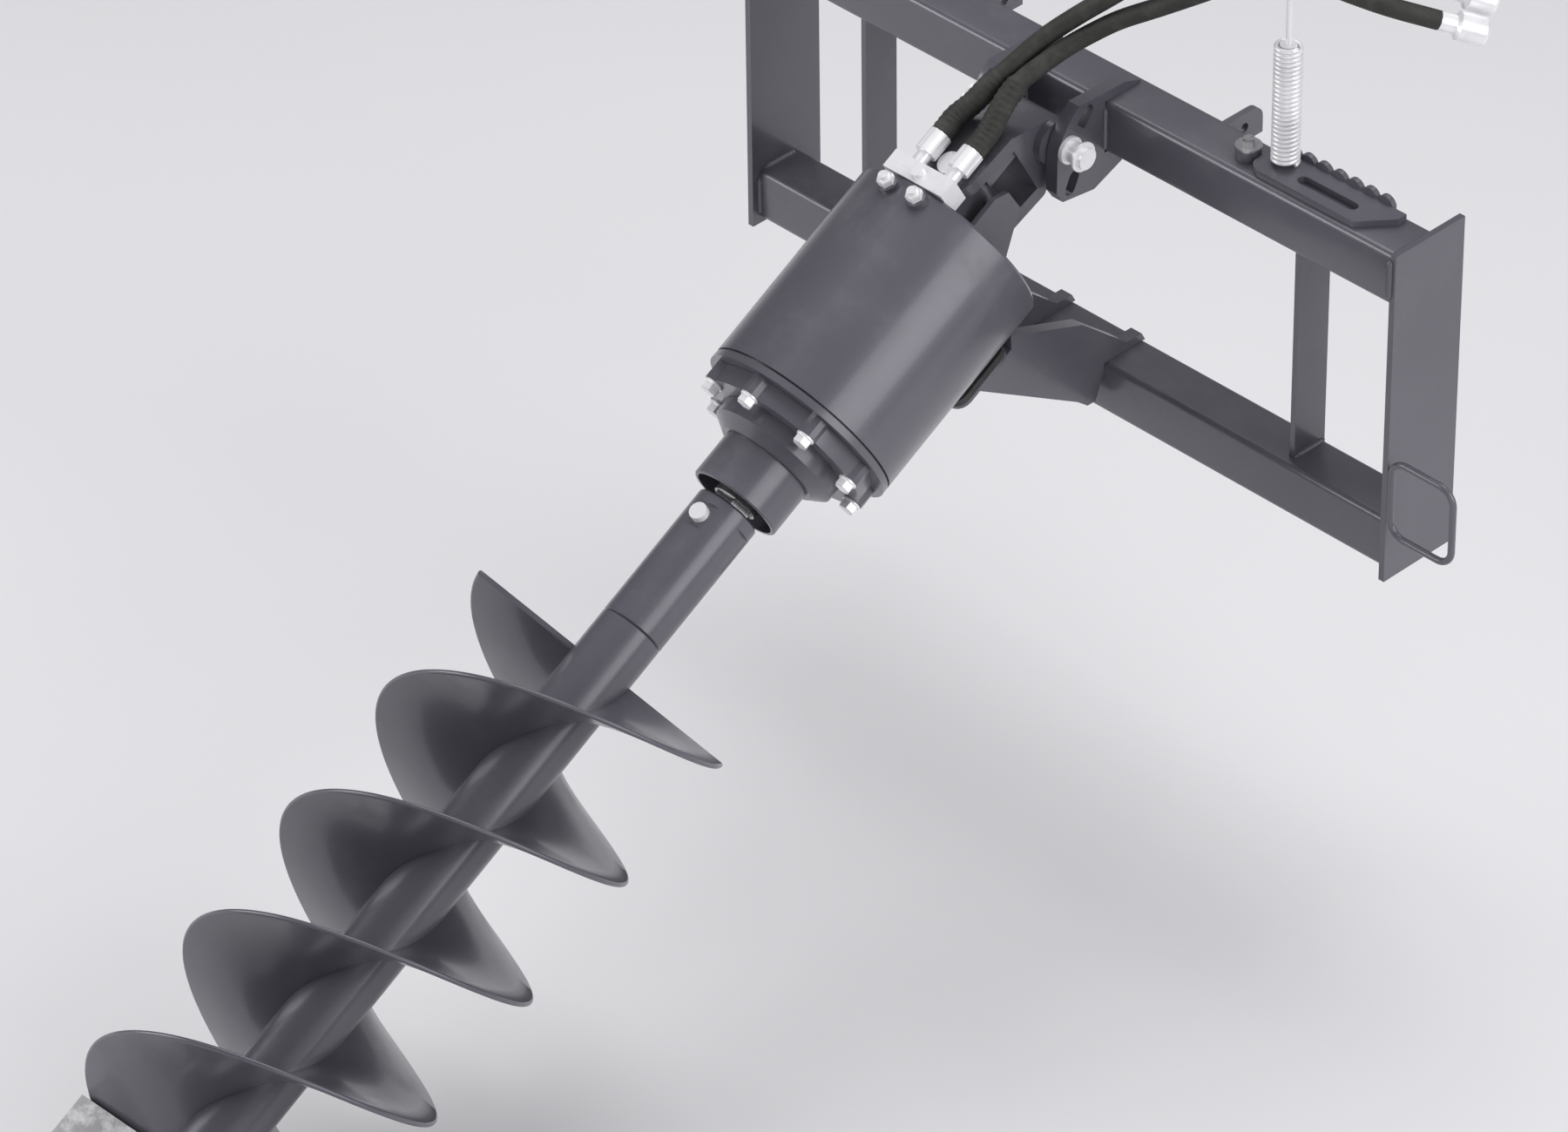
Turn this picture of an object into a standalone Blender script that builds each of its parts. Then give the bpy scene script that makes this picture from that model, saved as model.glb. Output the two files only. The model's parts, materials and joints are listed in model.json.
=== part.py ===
"""Earth auger drive on a loader frame: a hydraulic planetary drive with a double flight auger.

Lengths are in metres and angles in degrees. The frame is modelled with its width along X, its rear
face towards +Y and +Z up. The drive is modelled hanging straight down from its swivel pin, and two
empties, one on the swing pin and one on the swivel pin, tilt it into its saddle. The origin is the
middle of the rear bar's rear face, where the loader holds the frame.
"""

import math

import bmesh
import bpy
import numpy as np
from mathutils import Matrix, Vector
from mathutils.geometry import tessellate_polygon

# Clearances shared by all pieces
SEAT_GAP = 0.0003
RUNNING_GAP = 0.0005
OVERRUN = 0.002

# Segments of round shapes
ARC_SEGMENTS = 6
SMALL_SEGMENTS = 12
ROUND_SEGMENTS = 24
WIDE_SEGMENTS = 32
HOOD_SEGMENTS = 48

# Loader frame
FRAME_WIDTH = 1.143
SIDE_PLATE_THICKNESS = 0.009
SIDE_PLATE_DEPTH = 0.127
SIDE_PLATE_HEIGHT = 0.496
TUBE_SIZE = 0.0762
TUBE_WALL = 0.00635
TUBE_CORNER = 0.008
LOWER_TUBE_SETBACK = 0.0127
LOWER_TUBE_LIFT = 0.008
POST_OFFSET = 0.383
POST_THICKNESS = 0.008
POST_DEPTH = 0.057
POST_SETBACK = 0.031

# Loader interface behind the tubes
LIP_THICKNESS = 0.0095
LIP_TOP_DROP = 0.053
LIP_FALL = 0.040
LATCH_THICKNESS = 0.0095
LATCH_SLOT_OFFSET = 0.365
LATCH_SLOT_LENGTH = 0.060
LATCH_SLOT_WIDTH = 0.020
REAR_BAR_THICKNESS = 0.0095
REAR_BAR_HEIGHT = 0.020
REAR_LUG_OFFSET = 0.2108
REAR_LUG_THICKNESS = 0.0095
REAR_LUG_REACH = 0.0685
REAR_LUG_TOP_DROP = 0.007
REAR_LUG_HEIGHT = 0.042
REAR_LUG_CORNER = 0.018
REAR_LUG_HOLE_RADIUS = 0.007

# Pivot ears and swing pin
EAR_OFFSET = 0.060
EAR_THICKNESS = 0.019
SWING_PIN_REACH = 0.067
SWING_PIN_DROP = 0.039
SWING_PIN_RADIUS = 0.0145
EAR_SLOT_WIDTH = 0.018
EAR_SLOT_LENGTH = 0.036
EAR_SLOT_TILTS = (54.0, 65.0)
PIN_BOSS_RADIUS = 0.019
PIN_BOSS_LENGTH = 0.006
PIN_FLANGE_RADIUS = 0.0205
PIN_FLANGE_THICKNESS = 0.003
PIN_NECK_LENGTH = 0.018
PIN_HEAD_RADIUS = 0.0148
PIN_HEAD_LENGTH = 0.007
KEEPER_RADIUS = 0.024
KEEPER_THICKNESS = 0.008

# Ear outline: ahead of the tube as shares of the pin's reach, over and under it as shares of the tube
EAR_NOSE_SHARES = (
    (-0.71, 1.202), (-0.91, 1.05), (-0.97, 0.985), (-1.175, 0.73), (-1.284, 0.455),
    (-1.299, -0.294), (-1.128, -0.518), (-0.275, -0.614),
)
EAR_TAIL_SHARES = ((0.413, -0.345), (1.05, -0.05))
EAR_TOP_SHARES = ((0.848, 0.05), (0.466, 0.184))
EAR_SLOT_SHARES = ((-0.546, 0.921), (-0.881, -0.234))

# Cradle that carries the drive
ARM_OFFSET = 0.053
ARM_THICKNESS = 0.019
ARM_TOP_HEIGHT = 0.0124
ARM_FOOT_HEIGHT = 0.0247
ARM_FOOT_REACH = 0.0157
ARM_TOE_REACH = 0.0307
ARM_HEEL_REACH = 0.0497
ARM_HEEL_RISE = 0.0153
ARM_TOP_SHARES = ((0.913, 0.0), (0.547, 0.0), (-0.547, 0.9))
ARM_SHOULDER = 0.010
ARM_SHOULDER_RISE = 0.019
SADDLE_START = 0.042
SADDLE_LENGTH = 0.106
SADDLE_WIDTH = 0.150
SADDLE_CORNER = 0.020
SADDLE_PLATE_THICKNESS = 0.006
SADDLE_PAD_THICKNESS = 0.011
SADDLE_ARM_SHARE = 0.65

# Step tread on the upper tube
TREAD_LEFT = 0.310
TREAD_RIGHT = 0.527
TREAD_FRONT = 0.010
TREAD_DEPTH = 0.058
TREAD_HEIGHT = 0.0095
TREAD_CHAMFER = (0.036, 0.043)
TREAD_CORNER = 0.022
TREAD_SLOT_LENGTH = 0.098
TREAD_SLOT_WIDTH = 0.017
TREAD_SLOT_SHARES = (0.535, 0.42)
TREAD_COMB_THICKNESS = 0.007
TREAD_COMB_LEFT = 0.322
TREAD_COMB_RIGHT = 0.504
TREAD_COMB_BASE = 0.0105
TREAD_TOOTH_HEIGHT = 0.009
TREAD_TOOTH_COUNT = 7
TREAD_TOOTH_SEGMENTS = 8

# Clamp beside the tread
CLAMP_PLACE = (0.291, 0.036)
CLAMP_SPACER_RADIUS = 0.017
CLAMP_SPACER_HEIGHT = 0.015
CLAMP_WASHER_RADIUS = 0.0175
CLAMP_WASHER_THICKNESS = 0.003
CLAMP_BOLT_FLATS = 0.014
CLAMP_BOLT_HEIGHT = 0.010
CLAMP_SHANK_RADIUS = 0.0045

# Hose stand: spring, seat, rod with a loop
SPRING_PLACE = (0.343, 0.047)
SPRING_RADIUS = 0.019
SPRING_WIRE = 0.0062
SPRING_TURNS = 26
SPRING_COIL_GAP = 0.0004
SPRING_STEPS = 7
SPRING_SIDES = 4
ROD_RADIUS = 0.004
ROD_ENTRY_SHARE = 0.12
ROD_HEIGHT = 0.083
ROD_LOOP_RADIUS = 0.040
ROD_LOOP_STEPS = 14
ROD_LOOP_SWEEP = 330.0

# Guide ring on the right side plate
RING_ROD = 0.0095
RING_WIDTH = 0.1025
RING_HEIGHT = 0.1137
RING_LIFT = 0.078
RING_SETBACK = 0.002
RING_CORNER = 0.023

# Places of the two pins, and the drive's tilt in its saddle
REST_TILT = 60.64
AXIS_OFFSET = 0.0296
SWIVEL_DROP = 0.113

# Knuckle
BARREL_RADIUS = 0.031
BARREL_HALF_LENGTH = 0.0585
KNUCKLE_HALF_WIDTH = 0.048
KNUCKLE_TAPER = 0.004
KNUCKLE_HALF_DEPTH = 0.064
KNUCKLE_PLATE_THICKNESS = 0.020
KNUCKLE_SHOULDER_DROP = 0.046
KNUCKLE_BLOCK_RIM = 0.005
KNUCKLE_BAR_WIDTH = 0.011
KNUCKLE_BAR_DEPTH = 0.015
KNUCKLE_BAR_LENGTH = 0.052

# Swivel pin and drive lug
SWIVEL_PIN_RADIUS = 0.0127
SWIVEL_HEAD_RADIUS = 0.0165
SWIVEL_HEAD_THICKNESS = 0.006
SWIVEL_NUT_RADIUS = 0.021
SWIVEL_NUT_THICKNESS = 0.012
LUG_RADIUS = 0.032
LUG_FOOT_HALF_WIDTH = 0.040
LUG_SIDE_GAP = 0.0006
GUSSET_OFFSET = 0.052
GUSSET_THICKNESS = 0.007
GUSSET_SHARES = ((-0.40, 0.0), (-0.31, 0.37), (-0.03, 0.41), (0.29, -0.53))

# Hood: a turned shell with a flat top
HOOD_TOP_DEPTH = 0.0564
HOOD_RADIUS = 0.1373
HOOD_WALL = 0.005
HOOD_TOP_THICKNESS = 0.010
HOOD_LENGTH = 0.2996
HOOD_EDGE = 0.004
HOOD_GROOVE = 0.003
BAND_HEIGHT = 0.0098

# Motor with its shaft, above the gears
MOTOR_RADIUS = 0.062
MOTOR_LENGTH = 0.166
MOTOR_NECK_RADIUS = 0.045
MOTOR_NECK_LENGTH = 0.012

# Planetary gear set
GEAR_MODULE = 0.004
SUN_TEETH = 9
PLANET_TEETH = 18
PLANET_COUNT = 3
PRESSURE_ANGLE = 25.0
ADDENDUM_SHARE = 0.75
DEDENDUM_SHARE = 1.0
GEAR_BACKLASH = 0.0007
GEAR_WIDTH = 0.040
GEAR_TOP_DEPTH = 0.280
SUN_OVERLAP = 0.001
RING_GEAR_RADIUS = 0.118
PLANET_PIN_RADIUS = 0.010
CARRIER_RADIUS = 0.074
CARRIER_THICKNESS = 0.014
COVER_THICKNESS = 0.012
COVER_BORE_CLEARANCE = 0.004

# Output end
FLANGE_THICKNESS = 0.0265
FLANGE_RADIUS = 0.119
FLANGE_LOBE_RADIUS = 0.0145
FLANGE_BOLT_CIRCLE = 0.1147
FLANGE_BOLT_COUNT = 8
FLANGE_BOLT_FLATS = 0.019
FLANGE_BOLT_HEAD = 0.011
FLANGE_WASHER_RADIUS = 0.0125
FLANGE_WASHER_THICKNESS = 0.0025
HOUSING_RADIUS = 0.090
HOUSING_STRAIGHT = 0.0215
HOUSING_TAPER_RADIUS = 0.070
HOUSING_TAPER = 0.0135
HOUSING_WALL = 0.012
GUARD_RADIUS = 0.0632
GUARD_WALL = 0.0055
GUARD_LENGTH = 0.0644
GUARD_LIP = 0.0015
SHAFT_RADIUS = 0.031
SHAFT_HEX_FLATS = 0.0508
SHAFT_HEX_LENGTH = 0.152
BEARING_RADIUS = 0.052
SEAL_RADIUS = 0.048
SEAL_THICKNESS = 0.008

# Hub that slides on the hex shaft
HUB_GAP = 0.011
HUB_RADIUS = 0.04385
HUB_LENGTH = 0.1976
HUB_EDGE = 0.003
HUB_HEX_CLEARANCE = 0.0006
HUB_PIN_DEPTH = 0.0332
HUB_PIN_RADIUS = 0.008
HUB_PIN_HEAD_RADIUS = 0.012
HUB_PIN_HEAD_LENGTH = 0.010
HUB_PIN_NUT_RADIUS = 0.0125
HUB_PIN_NUT_LENGTH = 0.010
HUB_FLAT_LENGTH = 0.036
HUB_FLAT_DEPTH = 0.0035
HUB_SIDE_FLAT_DEPTH = 0.0186
HUB_SIDE_FLAT_LENGTH = 0.055

# Auger
AUGER_TUBE_RADIUS = 0.0437
AUGER_TUBE_WALL = 0.008
AUGER_TUBE_LENGTH = 0.893
FLIGHT_RADIUS = 0.194
FLIGHT_THICKNESS = 0.007
FLIGHT_LEAD = 0.381
FLIGHT_START = 0.0612
FLIGHT_LENGTH = 0.800
FLIGHT_START_ANGLE = 35.3
FLIGHT_STEPS_PER_TURN = 24
TOOTH_PLATE_WIDTH = 0.070
TOOTH_PLATE_THICKNESS = 0.012
TOOTH_PLATE_INNER = 0.058
TOOTH_PLATE_REACH = 0.200
TOOTH_COUNT = 3
TOOTH_LENGTH = 0.062
TOOTH_WIDTH = 0.034
TOOTH_TIP_WIDTH = 0.022
TOOTH_THICKNESS = 0.012
TOOTH_TIP_THICKNESS = 0.003
HEAD_LENGTH = 0.040
PILOT_WIDTH = 0.062
PILOT_LENGTH = 0.088
PILOT_THICKNESS = 0.014

# Manifold, ports and hoses
MANIFOLD_HALF_WIDTH = 0.051
MANIFOLD_FRONT = 0.136
MANIFOLD_DEPTH = 0.0415
MANIFOLD_HEIGHT = 0.0275
MANIFOLD_BOLT_RADIUS = 0.008
MANIFOLD_BOLT_HEAD = 0.006
PORT_OFFSET = 0.025
PORT_DROP = 0.0176
PORT_BOSS_RADIUS = 0.014
PORT_BOSS_HEIGHT = 0.006
PORT_CAP_FLATS = 0.019
PORT_CAP_HEIGHT = 0.010
PORT_CAP_TIP_RADIUS = 0.0065
PORT_CAP_TIP_LENGTH = 0.006
FITTING_OFFSET = 0.028
FITTING_FRONT = 0.1125
FITTING_NECK_RADIUS = 0.010
FITTING_NECK_LENGTH = 0.0195
FITTING_SHELL_RADIUS = 0.0158
FITTING_SHELL_LENGTH = 0.032
FITTING_RIBS = 12
FITTING_RIB_DEPTH = 0.0012

# Derived places, in the frame's own coordinates: X from the middle, Y from the side plates' front
# edges and Z from their bottom edges
PLATE_INNER = FRAME_WIDTH / 2 - SIDE_PLATE_THICKNESS
UPPER_TUBE_BASE = SIDE_PLATE_HEIGHT - TUBE_SIZE
LOWER_TUBE_TOP = LOWER_TUBE_LIFT + TUBE_SIZE
LOWER_TUBE_REAR = LOWER_TUBE_SETBACK + TUBE_SIZE
LATCH_TOP = LOWER_TUBE_LIFT + LATCH_THICKNESS
MOUNT_HEIGHT = LATCH_TOP + SEAT_GAP + REAR_BAR_HEIGHT / 2
SWING_Y = -SWING_PIN_REACH
SWING_Z = SIDE_PLATE_HEIGHT - SWING_PIN_DROP
TREAD_BASE = SIDE_PLATE_HEIGHT + SEAT_GAP
TREAD_TOP = TREAD_BASE + TREAD_HEIGHT

# Depths along the drive's axis, below the swivel pin
HOOD_END = HOOD_TOP_DEPTH + HOOD_LENGTH
BAND_TOP = HOOD_END + HOOD_GROOVE
FLANGE_TOP = BAND_TOP + BAND_HEIGHT + SEAT_GAP
FLANGE_END = FLANGE_TOP + FLANGE_THICKNESS
HOUSING_END = FLANGE_END + HOUSING_STRAIGHT + HOUSING_TAPER
GUARD_TOP = HOUSING_END + SEAT_GAP
GUARD_END = GUARD_TOP + GUARD_LENGTH
HUB_TOP = GUARD_END + HUB_GAP
HUB_END = HUB_TOP + HUB_LENGTH
AUGER_TOP = HUB_END + SEAT_GAP
AUGER_END = AUGER_TOP + AUGER_TUBE_LENGTH
FITTING_BASE = MANIFOLD_HEIGHT - HOOD_TOP_DEPTH + 2 * SEAT_GAP
FITTING_TOP = FITTING_BASE + FITTING_NECK_LENGTH + FITTING_SHELL_LENGTH
GEAR_END = GEAR_TOP_DEPTH + GEAR_WIDTH
MOTOR_TOP = HOOD_TOP_DEPTH + HOOD_TOP_THICKNESS + SEAT_GAP
MOTOR_END = MOTOR_TOP + MOTOR_LENGTH
CARRIER_TOP = GEAR_END + RUNNING_GAP
CARRIER_END = CARRIER_TOP + CARRIER_THICKNESS
KNUCKLE_FRONT = -AXIS_OFFSET - KNUCKLE_HALF_DEPTH
KNUCKLE_REAR = -AXIS_OFFSET + KNUCKLE_HALF_DEPTH
PLATE_GAP_HALF = KNUCKLE_HALF_DEPTH - KNUCKLE_PLATE_THICKNESS
SADDLE_TOP = HOOD_TOP_DEPTH + SADDLE_START
PAD_FACE = HOOD_RADIUS + SEAT_GAP
PAD_BACK = PAD_FACE + SADDLE_PAD_THICKNESS
SADDLE_PLATE_FACE = PAD_BACK + SEAT_GAP
SADDLE_PLATE_BACK = SADDLE_PLATE_FACE + SADDLE_PLATE_THICKNESS

MATERIALS = {
    "grey_paint": ((0.115, 0.110, 0.130), 0.32, 0.25),
    "zinc": ((0.72, 0.72, 0.74), 0.25, 0.95),
    "steel": ((0.45, 0.45, 0.46), 0.35, 0.95),
    "gear_steel": ((0.30, 0.30, 0.31), 0.30, 0.95),
    "tooth_steel": ((0.22, 0.22, 0.225), 0.45, 0.6),
    "rubber": ((0.030, 0.030, 0.028), 0.75, 0.0),
    "hose_rubber": ((0.040, 0.040, 0.034), 0.65, 0.0),
}


def clear_scene():
    for thing in list(bpy.data.objects):
        bpy.data.objects.remove(thing, do_unlink=True)


def paint(obj, name):
    """Give an object a material of its own with the finish's colour, roughness and metallic value."""
    colour, roughness, metallic = MATERIALS[name]
    material = bpy.data.materials.new(f"{obj.name}_{name}")
    material.use_nodes = True
    shader = material.node_tree.nodes["Principled BSDF"]
    shader.inputs["Base Color"].default_value = (*colour, 1.0)
    shader.inputs["Roughness"].default_value = roughness
    shader.inputs["Metallic"].default_value = metallic
    obj.data.materials.append(material)


def link(name, data, parent=None):
    obj = bpy.data.objects.new(name, data)
    bpy.context.scene.collection.objects.link(obj)
    obj.parent = parent
    return obj


def empty(name, place, turn=(0.0, 0.0, 0.0), parent=None):
    """A named centre that other objects are placed from; turn is in degrees about X, Y and Z."""
    obj = link(name, None, parent)
    obj.location = place
    obj.rotation_euler = [math.radians(angle) for angle in turn]
    return obj


def mesh_from(name, points, faces):
    mesh = bpy.data.meshes.new(name)
    mesh.from_pydata([tuple(p) for p in points], [], [tuple(f) for f in faces])
    return mesh


def tidy(mesh, smooth_angle=None):
    """Turn every face outwards and, for round pieces, shade smooth up to the given edge angle."""
    shape = bmesh.new()
    shape.from_mesh(mesh)
    bmesh.ops.recalc_face_normals(shape, faces=shape.faces)
    shape.to_mesh(mesh)
    shape.free()
    if smooth_angle is not None:
        mesh.shade_smooth()
        mesh.set_sharp_from_angle(angle=math.radians(smooth_angle))


def piece(name, body, finish, parent, smooth_angle=None):
    """One named object made of one body, given as points and faces."""
    mesh = mesh_from(name, *body)
    tidy(mesh, smooth_angle)
    obj = link(name, mesh, parent)
    paint(obj, finish)
    return obj


def together(bodies):
    """Several bodies that don't touch, as one set of points and faces."""
    points = []
    faces = []
    for body_points, body_faces in bodies:
        start = len(points)
        points.extend(body_points)
        faces.extend([[start + i for i in face] for face in body_faces])
    return points, faces


def combine(obj, operation, bodies):
    """Change an object by helper bodies that stay out of the model: DIFFERENCE takes their volume
    away and UNION welds them on."""
    for body in bodies:
        number = len(obj.modifiers)
        mesh = mesh_from(f"{obj.name}_helper_{number}", *body)
        tidy(mesh)
        helper = link(mesh.name, mesh, obj.parent)
        helper.hide_render = True
        helper.display_type = "WIRE"
        step = obj.modifiers.new(f"{operation.lower()}_{number}", "BOOLEAN")
        step.operation = operation
        step.solver = "EXACT"
        step.object = helper


def cut(obj, bodies):
    combine(obj, "DIFFERENCE", bodies)


def weld(obj, bodies):
    combine(obj, "UNION", bodies)


def arc(centre, radius, start, end, count):
    """Points on a circle from one angle to another, ends included."""
    return [
        (centre[0] + radius * math.cos(a), centre[1] + radius * math.sin(a))
        for a in np.radians(np.linspace(start, end, count))
    ]


def circle(centre, radius, count=ROUND_SEGMENTS):
    return arc(centre, radius, 0.0, 360.0, count + 1)[:-1]


def slot(centre, length, width, tilt, count=ARC_SEGMENTS):
    """A slot's outline: two half circles joined by straight sides."""
    reach = (length - width) / 2
    turn = math.radians(tilt)
    outline = []
    for side in (1, -1):
        end = (
            centre[0] + side * reach * math.cos(turn),
            centre[1] + side * reach * math.sin(turn),
        )
        first = tilt - 90.0 if side > 0 else tilt + 90.0
        outline += arc(end, width / 2, first, first + 180.0, count)
    return outline


def rectangle(low, high, corner=0.0, count=ARC_SEGMENTS):
    """A rectangle's outline, with round corners where a radius is given."""
    if not corner:
        return [low, (high[0], low[1]), high, (low[0], high[1])]
    centres = (
        (high[0] - corner, low[1] + corner), (high[0] - corner, high[1] - corner),
        (low[0] + corner, high[1] - corner), (low[0] + corner, low[1] + corner),
    )
    outline = []
    for quarter, centre in enumerate(centres):
        first = 90.0 * (quarter - 1)
        outline += arc(centre, corner, first, first + 90.0, count)
    return outline


def polygon(count, flats, centre=(0.0, 0.0), turn=0.0):
    """A regular polygon's outline, measured across its flats."""
    radius = flats / 2 / math.cos(math.pi / count)
    return arc(centre, radius, turn, turn + 360.0, count + 1)[:-1]


PLANES = {
    "X": lambda u, v, w: (w, u, v),
    "Y": lambda u, v, w: (u, w, v),
    "Z": lambda u, v, w: (u, v, w),
}


def prism(outline, low, high, along="Z", holes=()):
    """An outline, with holes where given, carried along an axis from low to high."""
    loops = [list(outline), *[list(hole) for hole in holes]]
    place = PLANES[along]
    flat = [point for loop in loops for point in loop]
    count = len(flat)
    points = [place(*p, low) for p in flat] + [place(*p, high) for p in flat]
    triangles = tessellate_polygon([[Vector((*p, 0.0)) for p in loop] for loop in loops])
    faces = [list(t) for t in triangles] + [[count + i for i in reversed(t)] for t in triangles]
    start = 0
    for loop in loops:
        for i in range(len(loop)):
            a = start + i
            b = start + (i + 1) % len(loop)
            faces.append([a, b, count + b, count + a])
        start += len(loop)
    return points, faces


def box(low, high):
    return prism(rectangle(low[:2], high[:2]), low[2], high[2])


def turned(profile, count=ROUND_SEGMENTS, centre=(0.0, 0.0), along="Z"):
    """A profile of (radius, height) points turned about an axis; it closes on itself as a ring, or at
    the axis where its first and last radii are zero."""
    place = PLANES[along]
    angles = np.arange(count) * 2 * math.pi / count
    points = []
    rows = []
    for radius, height in profile:
        if radius == 0.0:
            rows.append([len(points)] * count)
            points.append(place(*centre, height))
            continue
        rows.append([len(points) + k for k in range(count)])
        points += [
            place(centre[0] + radius * math.cos(a), centre[1] + radius * math.sin(a), height)
            for a in angles
        ]
    faces = []
    for i in range(len(rows)):
        upper = rows[i]
        lower = rows[(i + 1) % len(rows)]
        for k in range(count):
            after = (k + 1) % count
            ring = [upper[k], upper[after], lower[after], lower[k]]
            face = list(dict.fromkeys(ring))
            if len(face) > 2:
                faces.append(face)
    return points, faces


def rod(radius, low, high, centre=(0.0, 0.0), along="Z", count=ROUND_SEGMENTS, edge=0.0):
    """A round bar, with chamfered ends where an edge is given."""
    inner = radius - edge
    profile = [(0.0, low), (inner, low), (radius, low + edge), (radius, high - edge)]
    profile += [(inner, high), (0.0, high)]
    if not edge:
        profile = [(0.0, low), (radius, low), (radius, high), (0.0, high)]
    return turned(profile, count, centre, along)


def washer(outer, inner, low, high, centre=(0.0, 0.0), along="Z", count=ROUND_SEGMENTS):
    return turned([(outer, low), (outer, high), (inner, high), (inner, low)], count, centre, along)


def lofted(sections):
    """Closed rings of equal length, each joined to the next, with flat ends."""
    count = len(sections[0])
    points = [p for section in sections for p in section]
    faces = [list(range(count)), list(range(len(points) - 1, len(points) - count - 1, -1))]
    for row in range(len(sections) - 1):
        for k in range(count):
            a = row * count + k
            b = row * count + (k + 1) % count
            faces.append([a, b, b + count, a + count])
    return points, faces


def smooth_route(points, count):
    """Evenly spaced points on a smooth curve through the given ones: at each point the curve's
    direction is that of the line between its two neighbours."""
    way = [Vector(p) for p in points]
    way = [way[0] * 2 - way[1], *way, way[-1] * 2 - way[-2]]
    fine = []
    for i in range(1, len(way) - 2):
        before, start, end, after = way[i - 1:i + 3]
        for t in np.linspace(0.0, 1.0, 24, endpoint=False):
            fine.append(
                0.5 * (2 * start + (end - before) * t
                       + (2 * before - 5 * start + 4 * end - after) * t * t
                       + (3 * start - before - 3 * end + after) * t * t * t)
            )
    fine.append(way[-2])
    steps = [0.0]
    for a, b in zip(fine, fine[1:]):
        steps.append(steps[-1] + (b - a).length)
    wanted = np.linspace(0.0, steps[-1], count)
    columns = [np.interp(wanted, steps, [p[axis] for p in fine]) for axis in range(3)]
    return [Vector(p) for p in zip(*columns)]


def tube(name, points, radius, finish, parent, resolution=2, closed=False):
    """A round tube along a line of points: a curve with a bevel and filled ends."""
    curve = bpy.data.curves.new(name, "CURVE")
    curve.dimensions = "3D"
    curve.bevel_depth = radius
    curve.bevel_resolution = resolution
    curve.use_fill_caps = True
    line = curve.splines.new("POLY")
    line.points.add(len(points) - 1)
    for target, point in zip(line.points, points):
        target.co = (*point, 1.0)
    line.use_cyclic_u = closed
    line.use_smooth = True
    obj = link(name, curve, parent)
    paint(obj, finish)
    return obj


SIDES = ((-1, "left"), (1, "right"))


def side_plates(parent):
    outline = rectangle((0.0, 0.0), (SIDE_PLATE_DEPTH, SIDE_PLATE_HEIGHT))
    for side, name in SIDES:
        low, high = sorted((side * PLATE_INNER, side * FRAME_WIDTH / 2))
        piece(f"side_plate_{name}", prism(outline, low, high, "X"), "grey_paint", parent)


def square_tube(name, front, base, parent):
    """A hollow square tube with round corners between the side plates."""
    reach = PLATE_INNER - SEAT_GAP
    outer = rectangle((front, base), (front + TUBE_SIZE, base + TUBE_SIZE), TUBE_CORNER, 5)
    inner = rectangle(
        (front + TUBE_WALL, base + TUBE_WALL),
        (front + TUBE_SIZE - TUBE_WALL, base + TUBE_SIZE - TUBE_WALL),
    )
    bar = prism(outer, -reach, reach, "X", holes=[inner])
    piece(name, bar, "grey_paint", parent, smooth_angle=30)


def crossbars(parent):
    square_tube("upper_crossbar", 0.0, UPPER_TUBE_BASE, parent)
    square_tube("lower_crossbar", LOWER_TUBE_SETBACK, LOWER_TUBE_LIFT, parent)


def inner_posts(parent):
    for side, name in SIDES:
        middle = side * POST_OFFSET
        post = box(
            (middle - POST_THICKNESS / 2, POST_SETBACK, LOWER_TUBE_TOP + SEAT_GAP),
            (middle + POST_THICKNESS / 2, POST_SETBACK + POST_DEPTH, UPPER_TUBE_BASE - SEAT_GAP),
        )
        piece(f"inner_post_{name}", post, "grey_paint", parent)


def hook_lip(parent):
    """A plate that slopes down and back from the upper crossbar, for the loader's top edge."""
    front = TUBE_SIZE + SEAT_GAP
    top = SIDE_PLATE_HEIGHT - LIP_TOP_DROP
    run = SIDE_PLATE_DEPTH - front
    drop = LIP_THICKNESS * math.hypot(run, LIP_FALL) / run
    outline = [
        (front, top), (front, top - drop),
        (SIDE_PLATE_DEPTH, top - drop - LIP_FALL), (SIDE_PLATE_DEPTH, top - LIP_FALL),
    ]
    reach = PLATE_INNER - SEAT_GAP
    piece("hook_lip", prism(outline, -reach, reach, "X"), "grey_paint", parent)


def latch_plate(parent):
    """A shelf with two slots behind the lower crossbar, for the loader's locking pins."""
    reach = PLATE_INNER - SEAT_GAP
    front = LOWER_TUBE_REAR + SEAT_GAP
    middle = (front + SIDE_PLATE_DEPTH) / 2
    slots = [
        slot((side * LATCH_SLOT_OFFSET, middle), LATCH_SLOT_LENGTH, LATCH_SLOT_WIDTH, 0.0)
        for side in (-1, 1)
    ]
    outline = rectangle((-reach, front), (reach, SIDE_PLATE_DEPTH))
    shelf = prism(outline, LOWER_TUBE_LIFT, LATCH_TOP, holes=slots)
    piece("latch_plate", shelf, "grey_paint", parent)


def rear_bar(parent):
    """The flat bar along the latch plate's rear edge, which bears on the loader."""
    reach = PLATE_INNER - SEAT_GAP
    base = LATCH_TOP + SEAT_GAP
    bar = box(
        (-reach, SIDE_PLATE_DEPTH - REAR_BAR_THICKNESS, base),
        (reach, SIDE_PLATE_DEPTH, base + REAR_BAR_HEIGHT),
    )
    piece("rear_bar", bar, "grey_paint", parent)


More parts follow.
